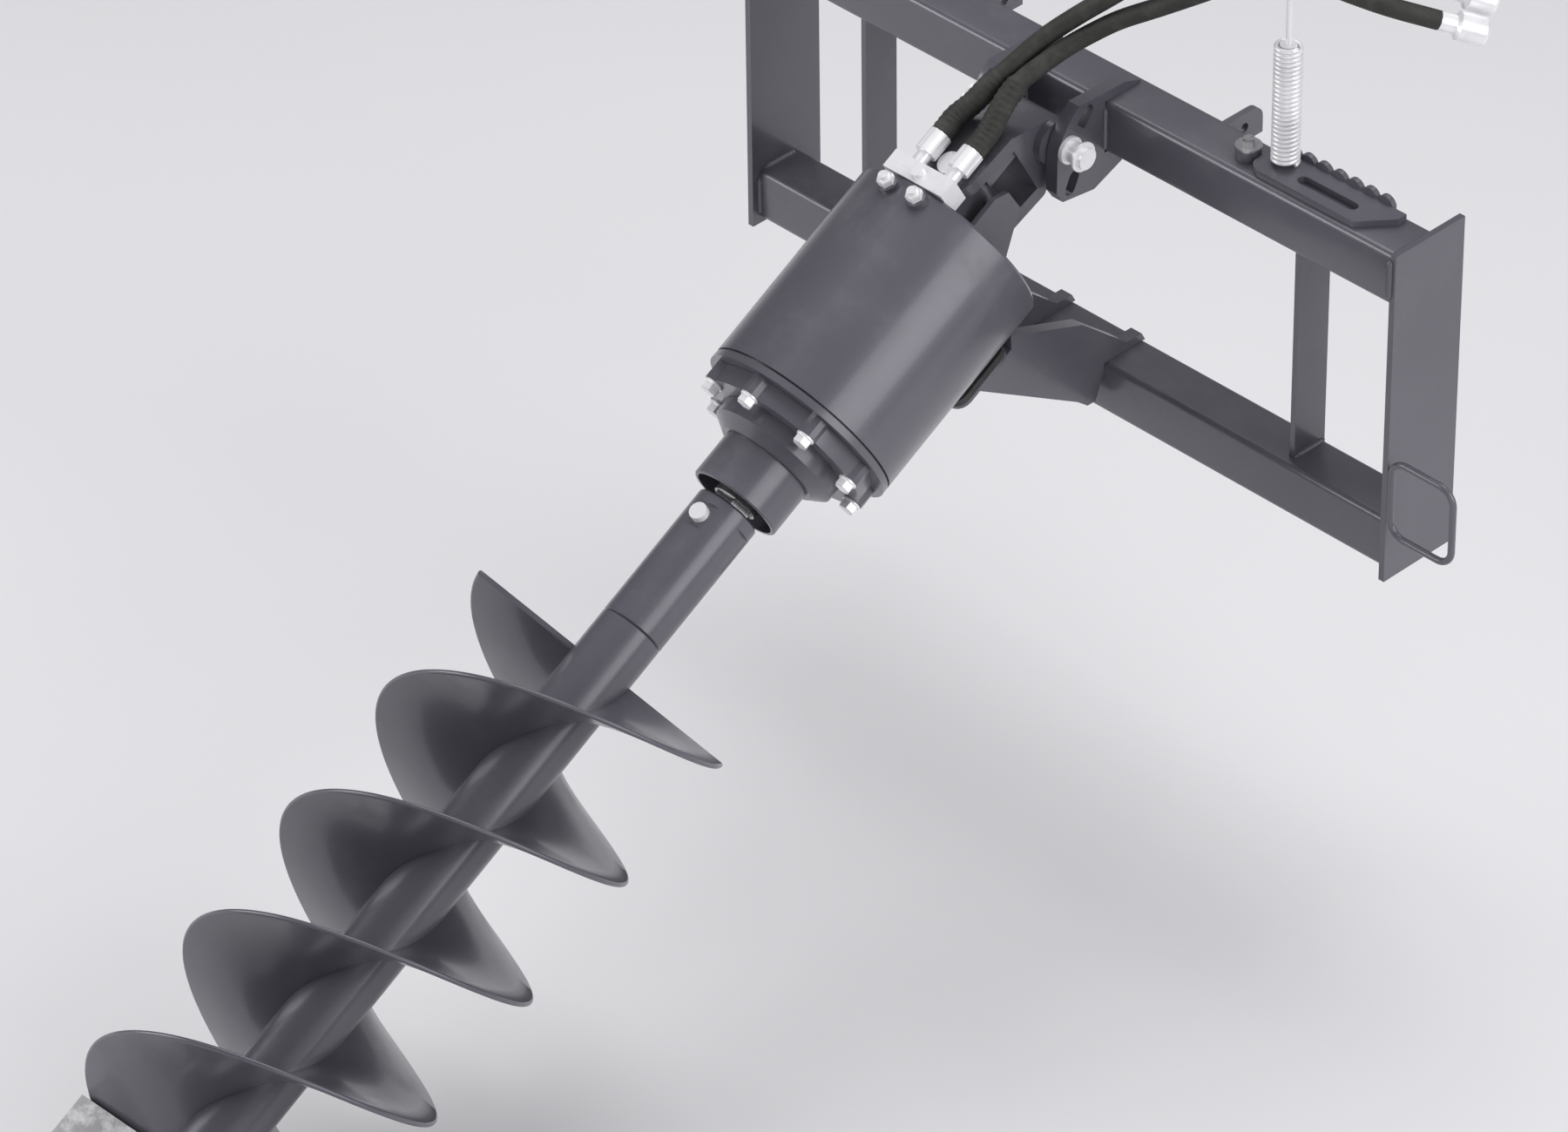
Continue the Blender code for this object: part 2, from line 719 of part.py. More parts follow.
def rear_lugs(parent):
    """Upright plates with a hole behind the upper crossbar."""
    front = TUBE_SIZE + SEAT_GAP
    rear = front + REAR_LUG_REACH
    top = SIDE_PLATE_HEIGHT - REAR_LUG_TOP_DROP
    base = top - REAR_LUG_HEIGHT
    corner = (rear - REAR_LUG_CORNER, top - REAR_LUG_CORNER)
    outline = [(front, base), (rear, base)]
    outline += arc(corner, REAR_LUG_CORNER, 0.0, 90.0, ARC_SEGMENTS)
    outline += [(front, top)]
    hole = circle(((front + rear) / 2, (top + base) / 2), REAR_LUG_HOLE_RADIUS, 16)
    for side, name in SIDES:
        low = side * REAR_LUG_OFFSET - REAR_LUG_THICKNESS / 2
        lug = prism(outline, low, low + REAR_LUG_THICKNESS, "X", holes=[hole])
        piece(f"rear_lug_{name}", lug, "grey_paint", parent)


def ear_outline():
    """The pivot ear's outline: it wraps the upper crossbar and reaches forward past the pin."""
    tube = TUBE_SIZE
    reach = SWING_PIN_REACH
    outline = [(y * reach, UPPER_TUBE_BASE + z * tube) for y, z in EAR_NOSE_SHARES]
    outline += [(y * tube, UPPER_TUBE_BASE + z * tube) for y, z in EAR_TAIL_SHARES]
    outline += [
        (tube, UPPER_TUBE_BASE - SEAT_GAP), (-SEAT_GAP, UPPER_TUBE_BASE - SEAT_GAP),
        (-SEAT_GAP, SIDE_PLATE_HEIGHT + SEAT_GAP),
    ]
    y, z = EAR_TOP_SHARES[0]
    outline += [(y * tube, SIDE_PLATE_HEIGHT + SEAT_GAP)]
    outline += [(y * tube, SIDE_PLATE_HEIGHT + z * tube) for y, z in EAR_TOP_SHARES]
    return outline


def pivot_ears(parent):
    slots = [
        slot(
            (y * SWING_PIN_REACH, UPPER_TUBE_BASE + z * TUBE_SIZE),
            EAR_SLOT_LENGTH, EAR_SLOT_WIDTH, tilt,
        )
        for (y, z), tilt in zip(EAR_SLOT_SHARES, EAR_SLOT_TILTS)
    ]
    hole = circle((SWING_Y, SWING_Z), SWING_PIN_RADIUS + SEAT_GAP)
    for side, name in SIDES:
        low = side * EAR_OFFSET - (EAR_THICKNESS if side < 0 else 0.0)
        ear = prism(ear_outline(), low, low + EAR_THICKNESS, "X", holes=[hole, *slots])
        piece(f"pivot_ear_{name}", ear, "grey_paint", parent, 30)


def swing_pin(parent):
    """The pin through both ears, with its boss, flange and head on the right and a keeper on the
    left."""
    place = (SWING_Y, SWING_Z)
    ear = EAR_OFFSET + EAR_THICKNESS + SEAT_GAP
    boss = ear + PIN_BOSS_LENGTH
    flange = boss + PIN_NECK_LENGTH
    head = flange + PIN_FLANGE_THICKNESS
    left = -(ear + KEEPER_THICKNESS)
    profile = [
        (0.0, left), (SWING_PIN_RADIUS, left), (SWING_PIN_RADIUS, ear), (PIN_BOSS_RADIUS, ear),
        (PIN_BOSS_RADIUS, boss), (SWING_PIN_RADIUS, boss), (SWING_PIN_RADIUS, flange),
        (PIN_FLANGE_RADIUS, flange), (PIN_FLANGE_RADIUS, head), (PIN_HEAD_RADIUS, head),
        (PIN_HEAD_RADIUS, head + PIN_HEAD_LENGTH), (0.0, head + PIN_HEAD_LENGTH),
    ]
    piece("swing_pin", turned(profile, centre=place, along="X"), "zinc", parent, 40)
    bore = SWING_PIN_RADIUS + SEAT_GAP
    keeper = washer(KEEPER_RADIUS, bore, left, -ear, place, "X")
    piece("pin_keeper", keeper, "zinc", parent, 40)


def from_drive(y, depth):
    """The frame's (y, z) of a point given in the drive's own coordinates at rest."""
    turn = math.radians(-REST_TILT)
    side = y + AXIS_OFFSET
    height = -SWIVEL_DROP - depth
    return (
        SWING_Y + side * math.cos(turn) - height * math.sin(turn),
        SWING_Z + side * math.sin(turn) + height * math.cos(turn),
    )


def cradle_arms(parent):
    """Plates that hook over the lower crossbar and carry the saddle."""
    front = LOWER_TUBE_SETBACK
    top = LOWER_TUBE_TOP
    back = SADDLE_PLATE_BACK + SEAT_GAP
    outline = [(front - SEAT_GAP, top + SEAT_GAP), (LOWER_TUBE_REAR, top + SEAT_GAP)]
    outline += [
        (front + y * TUBE_SIZE, top + ARM_TOP_HEIGHT + z * TUBE_SIZE)
        for y, z in ARM_TOP_SHARES
    ]
    outline += [
        from_drive(back - ARM_SHOULDER_RISE, SADDLE_TOP - ARM_SHOULDER),
        from_drive(back, SADDLE_TOP - SEAT_GAP),
        from_drive(back, SADDLE_TOP + SADDLE_LENGTH * SADDLE_ARM_SHARE),
    ]
    foot = LOWER_TUBE_LIFT + ARM_FOOT_HEIGHT
    outline += [
        (front - ARM_HEEL_REACH, foot + ARM_HEEL_RISE), (front - ARM_TOE_REACH, foot),
        (front - ARM_FOOT_REACH, foot), (front - SEAT_GAP, top - ARM_TOP_HEIGHT),
    ]
    for side, name in SIDES:
        low = side * ARM_OFFSET - (ARM_THICKNESS if side < 0 else 0.0)
        arm = prism(outline, low, low + ARM_THICKNESS, "X")
        piece(f"cradle_arm_{name}", arm, "grey_paint", parent)


def saddle(parent):
    """The flat plate and its rubber pad, square to the drive at rest."""
    half = SADDLE_WIDTH / 2
    outline = rectangle(
        (-half, -SADDLE_TOP - SADDLE_LENGTH), (half, -SADDLE_TOP), SADDLE_CORNER
    )
    pad = prism(outline, PAD_FACE, PAD_BACK, "Y")
    piece("saddle_pad", pad, "rubber", parent)
    plate = prism(outline, SADDLE_PLATE_FACE, SADDLE_PLATE_BACK, "Y")
    piece("saddle_plate", plate, "grey_paint", parent)


def step_tread(parent):
    """A low block on the upper crossbar with a long slot, and a comb of round teeth behind it."""
    rear = TREAD_FRONT + TREAD_DEPTH
    across, along = TREAD_CHAMFER
    outline = arc(
        (TREAD_LEFT + TREAD_CORNER, TREAD_FRONT + TREAD_CORNER), TREAD_CORNER, 180.0, 270.0,
        ARC_SEGMENTS,
    )
    outline += [
        (TREAD_RIGHT - across, TREAD_FRONT), (TREAD_RIGHT, TREAD_FRONT + along),
        (TREAD_RIGHT, rear), (TREAD_LEFT, rear),
    ]
    share_x, share_y = TREAD_SLOT_SHARES
    centre = (
        TREAD_LEFT + share_x * (TREAD_RIGHT - TREAD_LEFT), TREAD_FRONT + share_y * TREAD_DEPTH,
    )
    groove = slot(centre, TREAD_SLOT_LENGTH, TREAD_SLOT_WIDTH, 0.0)
    plate = prism(outline, TREAD_BASE, TREAD_TOP, holes=[groove])
    weld(piece("step_tread", plate, "grey_paint", parent), [tread_comb()])


def tread_comb():
    """An upright strip behind the tread whose top edge is a row of round teeth: half sine waves."""
    base = TREAD_BASE
    low = base + TREAD_COMB_BASE
    count = TREAD_TOOTH_COUNT * TREAD_TOOTH_SEGMENTS
    outline = [(TREAD_COMB_LEFT, base), (TREAD_COMB_RIGHT, base)]
    for i in range(count + 1):
        x = TREAD_COMB_RIGHT + (TREAD_COMB_LEFT - TREAD_COMB_RIGHT) * i / count
        wave = abs(math.sin(math.pi * i / TREAD_TOOTH_SEGMENTS)) ** 0.7
        outline.append((x, low + TREAD_TOOTH_HEIGHT * wave))
    rear = TREAD_FRONT + TREAD_DEPTH
    return prism(outline, rear - RUNNING_GAP, rear + TREAD_COMB_THICKNESS, "Y")


def clamp(parent):
    """A spacer, washer and bolt that stand on the crossbar beside the tread."""
    base = SIDE_PLATE_HEIGHT + SEAT_GAP
    top = base + CLAMP_SPACER_HEIGHT
    bore = CLAMP_SHANK_RADIUS + SEAT_GAP
    spacer = washer(CLAMP_SPACER_RADIUS, bore, base, top, CLAMP_PLACE)
    piece("clamp_spacer", spacer, "grey_paint", parent, 40)
    rim = top + SEAT_GAP
    head = rim + CLAMP_WASHER_THICKNESS
    shank = base + (top - base) / 2
    profile = [
        (0.0, shank), (CLAMP_SHANK_RADIUS, shank), (CLAMP_SHANK_RADIUS, rim),
        (CLAMP_WASHER_RADIUS, rim), (CLAMP_WASHER_RADIUS, head), (0.0, head),
    ]
    bolt = piece("clamp_bolt", turned(profile, centre=CLAMP_PLACE), "steel", parent, 40)
    hexagon = polygon(6, CLAMP_BOLT_FLATS, CLAMP_PLACE)
    weld(bolt, [prism(hexagon, rim + CLAMP_WASHER_THICKNESS / 2, head + CLAMP_BOLT_HEIGHT)])


def hose_spring(parent):
    """A close wound coil on the tread: a wire of round section that climbs one pitch each turn."""
    x, y = SPRING_PLACE
    wire = SPRING_WIRE / 2
    pitch = SPRING_WIRE + SPRING_COIL_GAP
    middle = SPRING_RADIUS - wire
    drop = wire * math.cos(math.pi / SPRING_SIDES)
    base = TREAD_TOP + SEAT_GAP + drop
    steps = SPRING_TURNS * SPRING_STEPS
    sections = []
    for i in range(steps + 1):
        turn = 2 * math.pi * i / SPRING_STEPS
        height = base + pitch * i / SPRING_STEPS
        ring = []
        for k in range(SPRING_SIDES):
            angle = 2 * math.pi * (k + 0.5) / SPRING_SIDES
            reach = middle + wire * math.cos(angle)
            ring.append((
                x + reach * math.cos(turn), y + reach * math.sin(turn),
                height + wire * math.sin(angle),
            ))
        sections.append(ring)
    piece("hose_spring", lofted(sections), "zinc", parent, 60)
    return base - drop, base + pitch * SPRING_TURNS + drop


def hose_rod(base, top, parent):
    """A round rod whose wide foot fills the coil's end, and which ends in an open loop round the
    hoses. The rod's line stays in one upright plane, and each ring of it lies across that line, at
    half a right angle where the loop starts."""
    x, y = SPRING_PLACE
    start = top - (top - base) * ROD_ENTRY_SHARE
    neck = top + ROD_HEIGHT
    centre = neck + ROD_LOOP_RADIUS
    foot = (SPRING_RADIUS - SPRING_WIRE) * math.cos(math.pi / SPRING_STEPS) - SEAT_GAP
    path = [((y, start), (foot, 0.0), foot), ((y, top), (foot, 0.0), foot)]
    path.append(((y, top), (ROD_RADIUS, 0.0), ROD_RADIUS))
    path.append(((y, neck), (ROD_RADIUS, -ROD_RADIUS), ROD_RADIUS))
    for i in range(1, ROD_LOOP_STEPS + 1):
        angle = math.radians(ROD_LOOP_SWEEP) * i / ROD_LOOP_STEPS
        along, up = math.sin(angle), -math.cos(angle)
        place = (y + ROD_LOOP_RADIUS * along, centre + ROD_LOOP_RADIUS * up)
        path.append((place, (ROD_RADIUS * along, ROD_RADIUS * up), ROD_RADIUS))
    unit = polygon(SMALL_SEGMENTS, 2 * math.cos(math.pi / SMALL_SEGMENTS))
    sections = [
        [(x + radius * u, place[0] + out[0] * v, place[1] + out[1] * v) for u, v in unit]
        for place, out, radius in path
    ]
    piece("hose_rod", lofted(sections), "zinc", parent, 40)


def guide_ring(parent):
    """A bent rod loop that stands out of the right side plate, its inner leg against the plate."""
    left = FRAME_WIDTH / 2 + SEAT_GAP + RING_ROD / 2
    low = (left, RING_LIFT)
    high = (left + RING_WIDTH, RING_LIFT + RING_HEIGHT)
    outline = rectangle(low, high, RING_CORNER, 5)
    points = [(x, RING_SETBACK, z) for x, z in outline]
    tube("guide_ring", points, RING_ROD / 2, "grey_paint", parent, closed=True)


def knuckle(parent):
    """The swinging link: a barrel in a block, with two plates that hang from the block."""
    width = KNUCKLE_HALF_WIDTH - SEAT_GAP
    depth = KNUCKLE_HALF_DEPTH
    shoulder = -KNUCKLE_SHOULDER_DROP
    bore = circle((0.0, 0.0), SWING_PIN_RADIUS + RUNNING_GAP)
    outline = arc((0.0, 0.0), BARREL_RADIUS, 30.0, 150.0, 13)
    rim = shoulder - KNUCKLE_BLOCK_RIM
    outline += [(-depth, shoulder), (-depth, rim), (depth, rim), (depth, shoulder)]
    block = prism(outline, -width, width, "X", holes=[bore])
    link_body = piece("knuckle", block, "grey_paint", parent, 30)
    reach = BARREL_HALF_LENGTH
    inner = SWING_PIN_RADIUS + RUNNING_GAP
    ends = []
    for side in (-1, 1):
        low, high = sorted((side * (width - OVERRUN), side * reach))
        ends.append(washer(BARREL_RADIUS, inner, low, high, along="X"))
    plate_top = rim + OVERRUN
    foot = KNUCKLE_HALF_WIDTH - KNUCKLE_TAPER
    plate = arc((0.0, -SWIVEL_DROP), foot, 180.0, 360.0, 17)
    plate += [(KNUCKLE_HALF_WIDTH, plate_top), (-KNUCKLE_HALF_WIDTH, plate_top)]
    hole = circle((0.0, -SWIVEL_DROP), SWIVEL_PIN_RADIUS + SEAT_GAP)
    thickness = KNUCKLE_PLATE_THICKNESS
    plates = [
        prism(plate, low, low + thickness, "Y", holes=[hole]) for low in (-depth, depth - thickness)
    ]
    bar_outer = foot - SEAT_GAP
    bar_front = -PLATE_GAP_HALF
    bars = []
    for side in (-1, 1):
        low, high = sorted((side * (bar_outer - KNUCKLE_BAR_WIDTH), side * bar_outer))
        bars.append(box(
            (low, bar_front - OVERRUN, rim - KNUCKLE_BAR_LENGTH),
            (high, bar_front + KNUCKLE_BAR_DEPTH, plate_top),
        ))
    weld(link_body, [together(ends), together(plates), together(bars)])


def swivel_pin(parent):
    """The pin through the knuckle's plates and the drive's lug, with its head and nut."""
    front = KNUCKLE_FRONT - SEAT_GAP
    rear = KNUCKLE_REAR + SEAT_GAP
    end = rear + SWIVEL_NUT_THICKNESS
    profile = [
        (0.0, front - SWIVEL_HEAD_THICKNESS), (SWIVEL_HEAD_RADIUS, front - SWIVEL_HEAD_THICKNESS),
        (SWIVEL_HEAD_RADIUS, front), (SWIVEL_PIN_RADIUS, front), (SWIVEL_PIN_RADIUS, end),
        (0.0, end),
    ]
    pin = piece("swivel_pin", turned(profile, along="Y"), "zinc", parent, 40)
    weld(pin, [prism(polygon(6, 2 * SWIVEL_NUT_RADIUS), rear, end - SEAT_GAP, "Y")])


def drive_lug(parent):
    """The thick ear on the hood, between the knuckle's plates, and the gussets on its sides."""
    top = -HOOD_TOP_DEPTH + SEAT_GAP
    half = PLATE_GAP_HALF - LUG_SIDE_GAP
    outline = arc((0.0, 0.0), LUG_RADIUS, -20.0, 200.0, 17)
    outline += [(-LUG_FOOT_HALF_WIDTH, top), (LUG_FOOT_HALF_WIDTH, top)]
    hole = circle((0.0, 0.0), SWIVEL_PIN_RADIUS + RUNNING_GAP)
    lug = prism(outline, -AXIS_OFFSET - half, -AXIS_OFFSET + half, "Y", holes=[hole])
    piece("drive_lug", lug, "grey_paint", parent, 30)
    plate = [(GUSSET_SHARES[0][0] * HOOD_RADIUS, top)]
    plate += [(y * HOOD_RADIUS, z * HOOD_TOP_DEPTH) for y, z in GUSSET_SHARES]
    plate += [(GUSSET_SHARES[-1][0] * HOOD_RADIUS, top)]
    for side, name in SIDES:
        low = side * GUSSET_OFFSET - (GUSSET_THICKNESS if side < 0 else 0.0)
        gusset = prism(plate, low, low + GUSSET_THICKNESS, "X")
        piece(f"drive_gusset_{name}", gusset, "grey_paint", parent)


def port_places():
    """The middle of each capped port, and the height of its boss above the hood's crown."""
    crown = math.sqrt(HOOD_RADIUS ** 2 - (PORT_OFFSET - PORT_BOSS_RADIUS) ** 2) + SEAT_GAP
    depth = -HOOD_TOP_DEPTH - PORT_DROP
    return [(side * PORT_OFFSET, depth) for side in (-1, 1)], -crown


def hood(parent):
    """The turned cover over the motor, closed at its top, with the ports' bosses, and the band below
    its split line."""
    edge = HOOD_EDGE
    inner = HOOD_RADIUS - HOOD_WALL
    under = -HOOD_TOP_DEPTH - HOOD_TOP_THICKNESS
    profile = [
        (0.0, -HOOD_TOP_DEPTH), (HOOD_RADIUS - edge, -HOOD_TOP_DEPTH),
        (HOOD_RADIUS, -HOOD_TOP_DEPTH - edge), (HOOD_RADIUS, -HOOD_END), (inner, -HOOD_END),
        (inner, under), (0.0, under),
    ]
    cover = piece("hood", turned(profile, HOOD_SEGMENTS), "grey_paint", parent, 30)
    places, crown = port_places()
    seat = crown - PORT_BOSS_HEIGHT
    cap = seat - PORT_CAP_HEIGHT
    steps = (
        (PORT_BOSS_RADIUS, seat, HOOD_WALL + crown, 20),
        (PORT_CAP_TIP_RADIUS, cap - PORT_CAP_TIP_LENGTH, cap + OVERRUN, SMALL_SEGMENTS),
    )
    bosses, tips = [
        together([rod(radius, low, high, place, "Y", count) for place in places])
        for radius, low, high, count in steps
    ]
    caps = [
        prism(polygon(6, PORT_CAP_FLATS, place), cap, seat + OVERRUN, "Y") for place in places
    ]
    weld(cover, [bosses, together(caps), tips])
    bore = RING_GEAR_RADIUS + SEAT_GAP
    low = -BAND_TOP - BAND_HEIGHT
    rim = HOOD_RADIUS - HOOD_WALL - SEAT_GAP
    lip = [
        (HOOD_RADIUS, -BAND_TOP), (rim, -BAND_TOP), (rim, -HOOD_END + BAND_HEIGHT),
        (bore, -HOOD_END + BAND_HEIGHT), (bore, low), (HOOD_RADIUS, low),
    ]
    piece("hood_band", turned(lip, HOOD_SEGMENTS), "grey_paint", parent, 30)


def motor(parent):
    top = -MOTOR_TOP
    end = -MOTOR_END
    neck = end + MOTOR_NECK_LENGTH
    profile = [
        (0.0, top), (MOTOR_RADIUS, top), (MOTOR_RADIUS, neck), (MOTOR_NECK_RADIUS, neck),
        (MOTOR_NECK_RADIUS, end), (0.0, end),
    ]
    piece("motor_body", turned(profile), "steel", parent, 30)


def gear_outline(teeth, phase=0.0, inside=False):
    """A gear's tooth outline. A tooth's half angle at any radius is its half angle on the pitch
    circle, less a share of the backlash, plus the involute's angle on the pitch circle, less the
    involute's angle at that radius. An inner gear's gaps have that form instead."""
    pitch = GEAR_MODULE * teeth / 2
    base = pitch * math.cos(math.radians(PRESSURE_ANGLE))
    tip = ADDENDUM_SHARE * GEAR_MODULE
    root = DEDENDUM_SHARE * GEAR_MODULE
    half = (math.pi * GEAR_MODULE / 2 + (GEAR_BACKLASH if inside else -GEAR_BACKLASH) / 2) / 2
    steps = (-tip, 0.0, root) if inside else (-root, 0.0, tip)
    angles = []
    for step in steps:
        slope = math.acos(min(1.0, base / (pitch + step)))
        angles.append(math.tan(slope) - slope)
    widths = [half / pitch + angles[1] - angle for angle in angles]
    flank = [(pitch + step, width) for step, width in zip(steps, widths)]
    points = []
    for tooth in range(teeth):
        middle = phase + 2 * math.pi * tooth / teeth
        offset = math.pi / teeth if inside else 0.0
        for side, order in ((-1, flank), (1, flank[::-1])):
            for radius, width in order:
                angle = middle + offset + side * width
                points.append((radius * math.cos(angle), radius * math.sin(angle)))
    return points


def gear_train(drive, output, sun):
    """Ring gear and covers on the drive, sun on the motor shaft, planets on the carrier's pins."""
    top = -GEAR_TOP_DEPTH
    end = -GEAR_END
    outer = circle((0.0, 0.0), RING_GEAR_RADIUS, HOOD_SEGMENTS)
    ring = prism(outer, end, top, holes=[gear_outline(SUN_TEETH + 2 * PLANET_TEETH, 0.0, True)])
    piece("ring_gear", ring, "gear_steel", drive)
    cover = washer(
        RING_GEAR_RADIUS, MOTOR_NECK_RADIUS + SEAT_GAP, top + SEAT_GAP,
        top + COVER_THICKNESS, count=WIDE_SEGMENTS,
    )
    piece("gearbox_cover", cover, "gear_steel", drive, 40)
    shaft = MOTOR_NECK_LENGTH
    teeth = prism(gear_outline(SUN_TEETH), end + SUN_OVERLAP, -MOTOR_END - SEAT_GAP - shaft)
    piece("sun_gear", teeth, "gear_steel", sun)
    reach = GEAR_MODULE * (SUN_TEETH + PLANET_TEETH) / 2
    pins = []
    for number in range(PLANET_COUNT):
        angle = 2 * math.pi * number / PLANET_COUNT
        place = (reach * math.cos(angle), reach * math.sin(angle))
        phase = angle * (1 + SUN_TEETH / PLANET_TEETH) + math.pi - math.pi / PLANET_TEETH
        centre = empty(f"planet_axis_{number + 1}", (*place, 0.0), parent=output)
        bore = circle((0.0, 0.0), PLANET_PIN_RADIUS + RUNNING_GAP, 16)
        wheel = prism(gear_outline(PLANET_TEETH, phase), end, top - RUNNING_GAP, holes=[bore])
        piece(f"planet_gear_{number + 1}", wheel, "gear_steel", centre)
        low = -CARRIER_TOP - OVERRUN
        pins.append(rod(PLANET_PIN_RADIUS, low, top - RUNNING_GAP, place, count=16))
    weld(carrier(output), [together(pins)])


def output_end(drive):
    """The housing with its long double bearing, the flange with its bolts, and the guard and seal."""
    shaft_bore = SHAFT_RADIUS + RUNNING_GAP
    spigot = HOUSING_RADIUS - SEAT_GAP
    top = -GEAR_END - SEAT_GAP
    flange_top = -FLANGE_TOP
    flange_end = -FLANGE_END
    straight = flange_end - HOUSING_STRAIGHT
    end = -HOUSING_END
    well = -CARRIER_END - SEAT_GAP
    pocket = BEARING_RADIUS + SEAT_GAP
    floor = end + HOUSING_WALL
    profile = [
        (RING_GEAR_RADIUS, top), (RING_GEAR_RADIUS, flange_top + SEAT_GAP),
        (spigot, flange_top + SEAT_GAP), (spigot, flange_end), (HOUSING_RADIUS, flange_end),
        (HOUSING_RADIUS, straight), (HOUSING_TAPER_RADIUS, end), (shaft_bore, end),
        (shaft_bore, floor), (pocket, floor), (pocket, well), (CARRIER_RADIUS + RUNNING_GAP, well),
        (CARRIER_RADIUS + RUNNING_GAP, top),
    ]
    piece("output_housing", turned(profile, WIDE_SEGMENTS), "grey_paint", drive, 30)
    bearing = washer(BEARING_RADIUS, shaft_bore, floor + SEAT_GAP, well - SEAT_GAP)
    piece("shaft_bearing", bearing, "gear_steel", drive, 40)
    bolts = [
        2 * math.pi * number / FLANGE_BOLT_COUNT for number in range(FLANGE_BOLT_COUNT)
    ]
    outline = []
    lobe = FLANGE_LOBE_RADIUS
    for angle in bolts:
        middle = (FLANGE_BOLT_CIRCLE * math.cos(angle), FLANGE_BOLT_CIRCLE * math.sin(angle))
        aim = math.degrees(angle)
        outline += arc(middle, lobe, aim - 70.0, aim + 70.0, 5)
        waist = angle + math.pi / FLANGE_BOLT_COUNT
        outline.append((FLANGE_RADIUS * math.cos(waist), FLANGE_RADIUS * math.sin(waist)))
    bore = circle((0.0, 0.0), HOUSING_RADIUS + SEAT_GAP, WIDE_SEGMENTS)
    flange = prism(outline, flange_end + SEAT_GAP, flange_top, holes=[bore])
    casting = piece("output_flange", flange, "grey_paint", drive, 30)
    washers = []
    heads = []
    rim = flange_end - FLANGE_WASHER_THICKNESS
    for angle in bolts:
        place = (FLANGE_BOLT_CIRCLE * math.cos(angle), FLANGE_BOLT_CIRCLE * math.sin(angle))
        washers.append(
            rod(FLANGE_WASHER_RADIUS, rim, flange_end + OVERRUN, place, count=SMALL_SEGMENTS)
        )
        hexagon = polygon(6, FLANGE_BOLT_FLATS, place)
        heads.append(prism(hexagon, rim - FLANGE_BOLT_HEAD, rim + FLANGE_WASHER_THICKNESS / 2))
    weld(casting, [together(washers), together(heads)])
    guard_top = -GUARD_TOP
    guard_end = -GUARD_END
    inner = GUARD_RADIUS - GUARD_WALL
    sleeve = [
        (GUARD_RADIUS, guard_top), (GUARD_RADIUS, guard_end + GUARD_LIP),
        (GUARD_RADIUS - GUARD_LIP, guard_end), (inner, guard_end), (inner, guard_top),
    ]
    piece("shaft_guard", turned(sleeve, WIDE_SEGMENTS), "grey_paint", drive, 30)
    seal = washer(SEAL_RADIUS, shaft_bore, guard_top - SEAL_THICKNESS, guard_top)
    piece("shaft_seal", seal, "rubber", drive, 40)


def ring_at(outline, height):
    return [(x, y, height) for x, y in outline]


def carrier(output):
    """The planet carrier with its shaft, which turns from round to hexagonal inside the guard."""
    count = 24
    round_shaft = circle((0.0, 0.0), SHAFT_RADIUS, count)
    hexagon = []
    for x, y in round_shaft:
        angle = math.atan2(y, x)
        sector = angle % (math.pi / 3) - math.pi / 6
        radius = SHAFT_HEX_FLATS / 2 / math.cos(sector)
        hexagon.append((radius * math.cos(angle), radius * math.sin(angle)))
    disc = circle((0.0, 0.0), CARRIER_RADIUS, count)
    step = -GUARD_END
    sections = [
        ring_at(disc, -CARRIER_TOP), ring_at(disc, -CARRIER_END + SEAT_GAP),
        ring_at(round_shaft, -CARRIER_END + SEAT_GAP), ring_at(round_shaft, step),
        ring_at(hexagon, step), ring_at(hexagon, -HUB_TOP - SHAFT_HEX_LENGTH),
    ]
    return piece("carrier_shaft", lofted(sections), "gear_steel", output, 30)


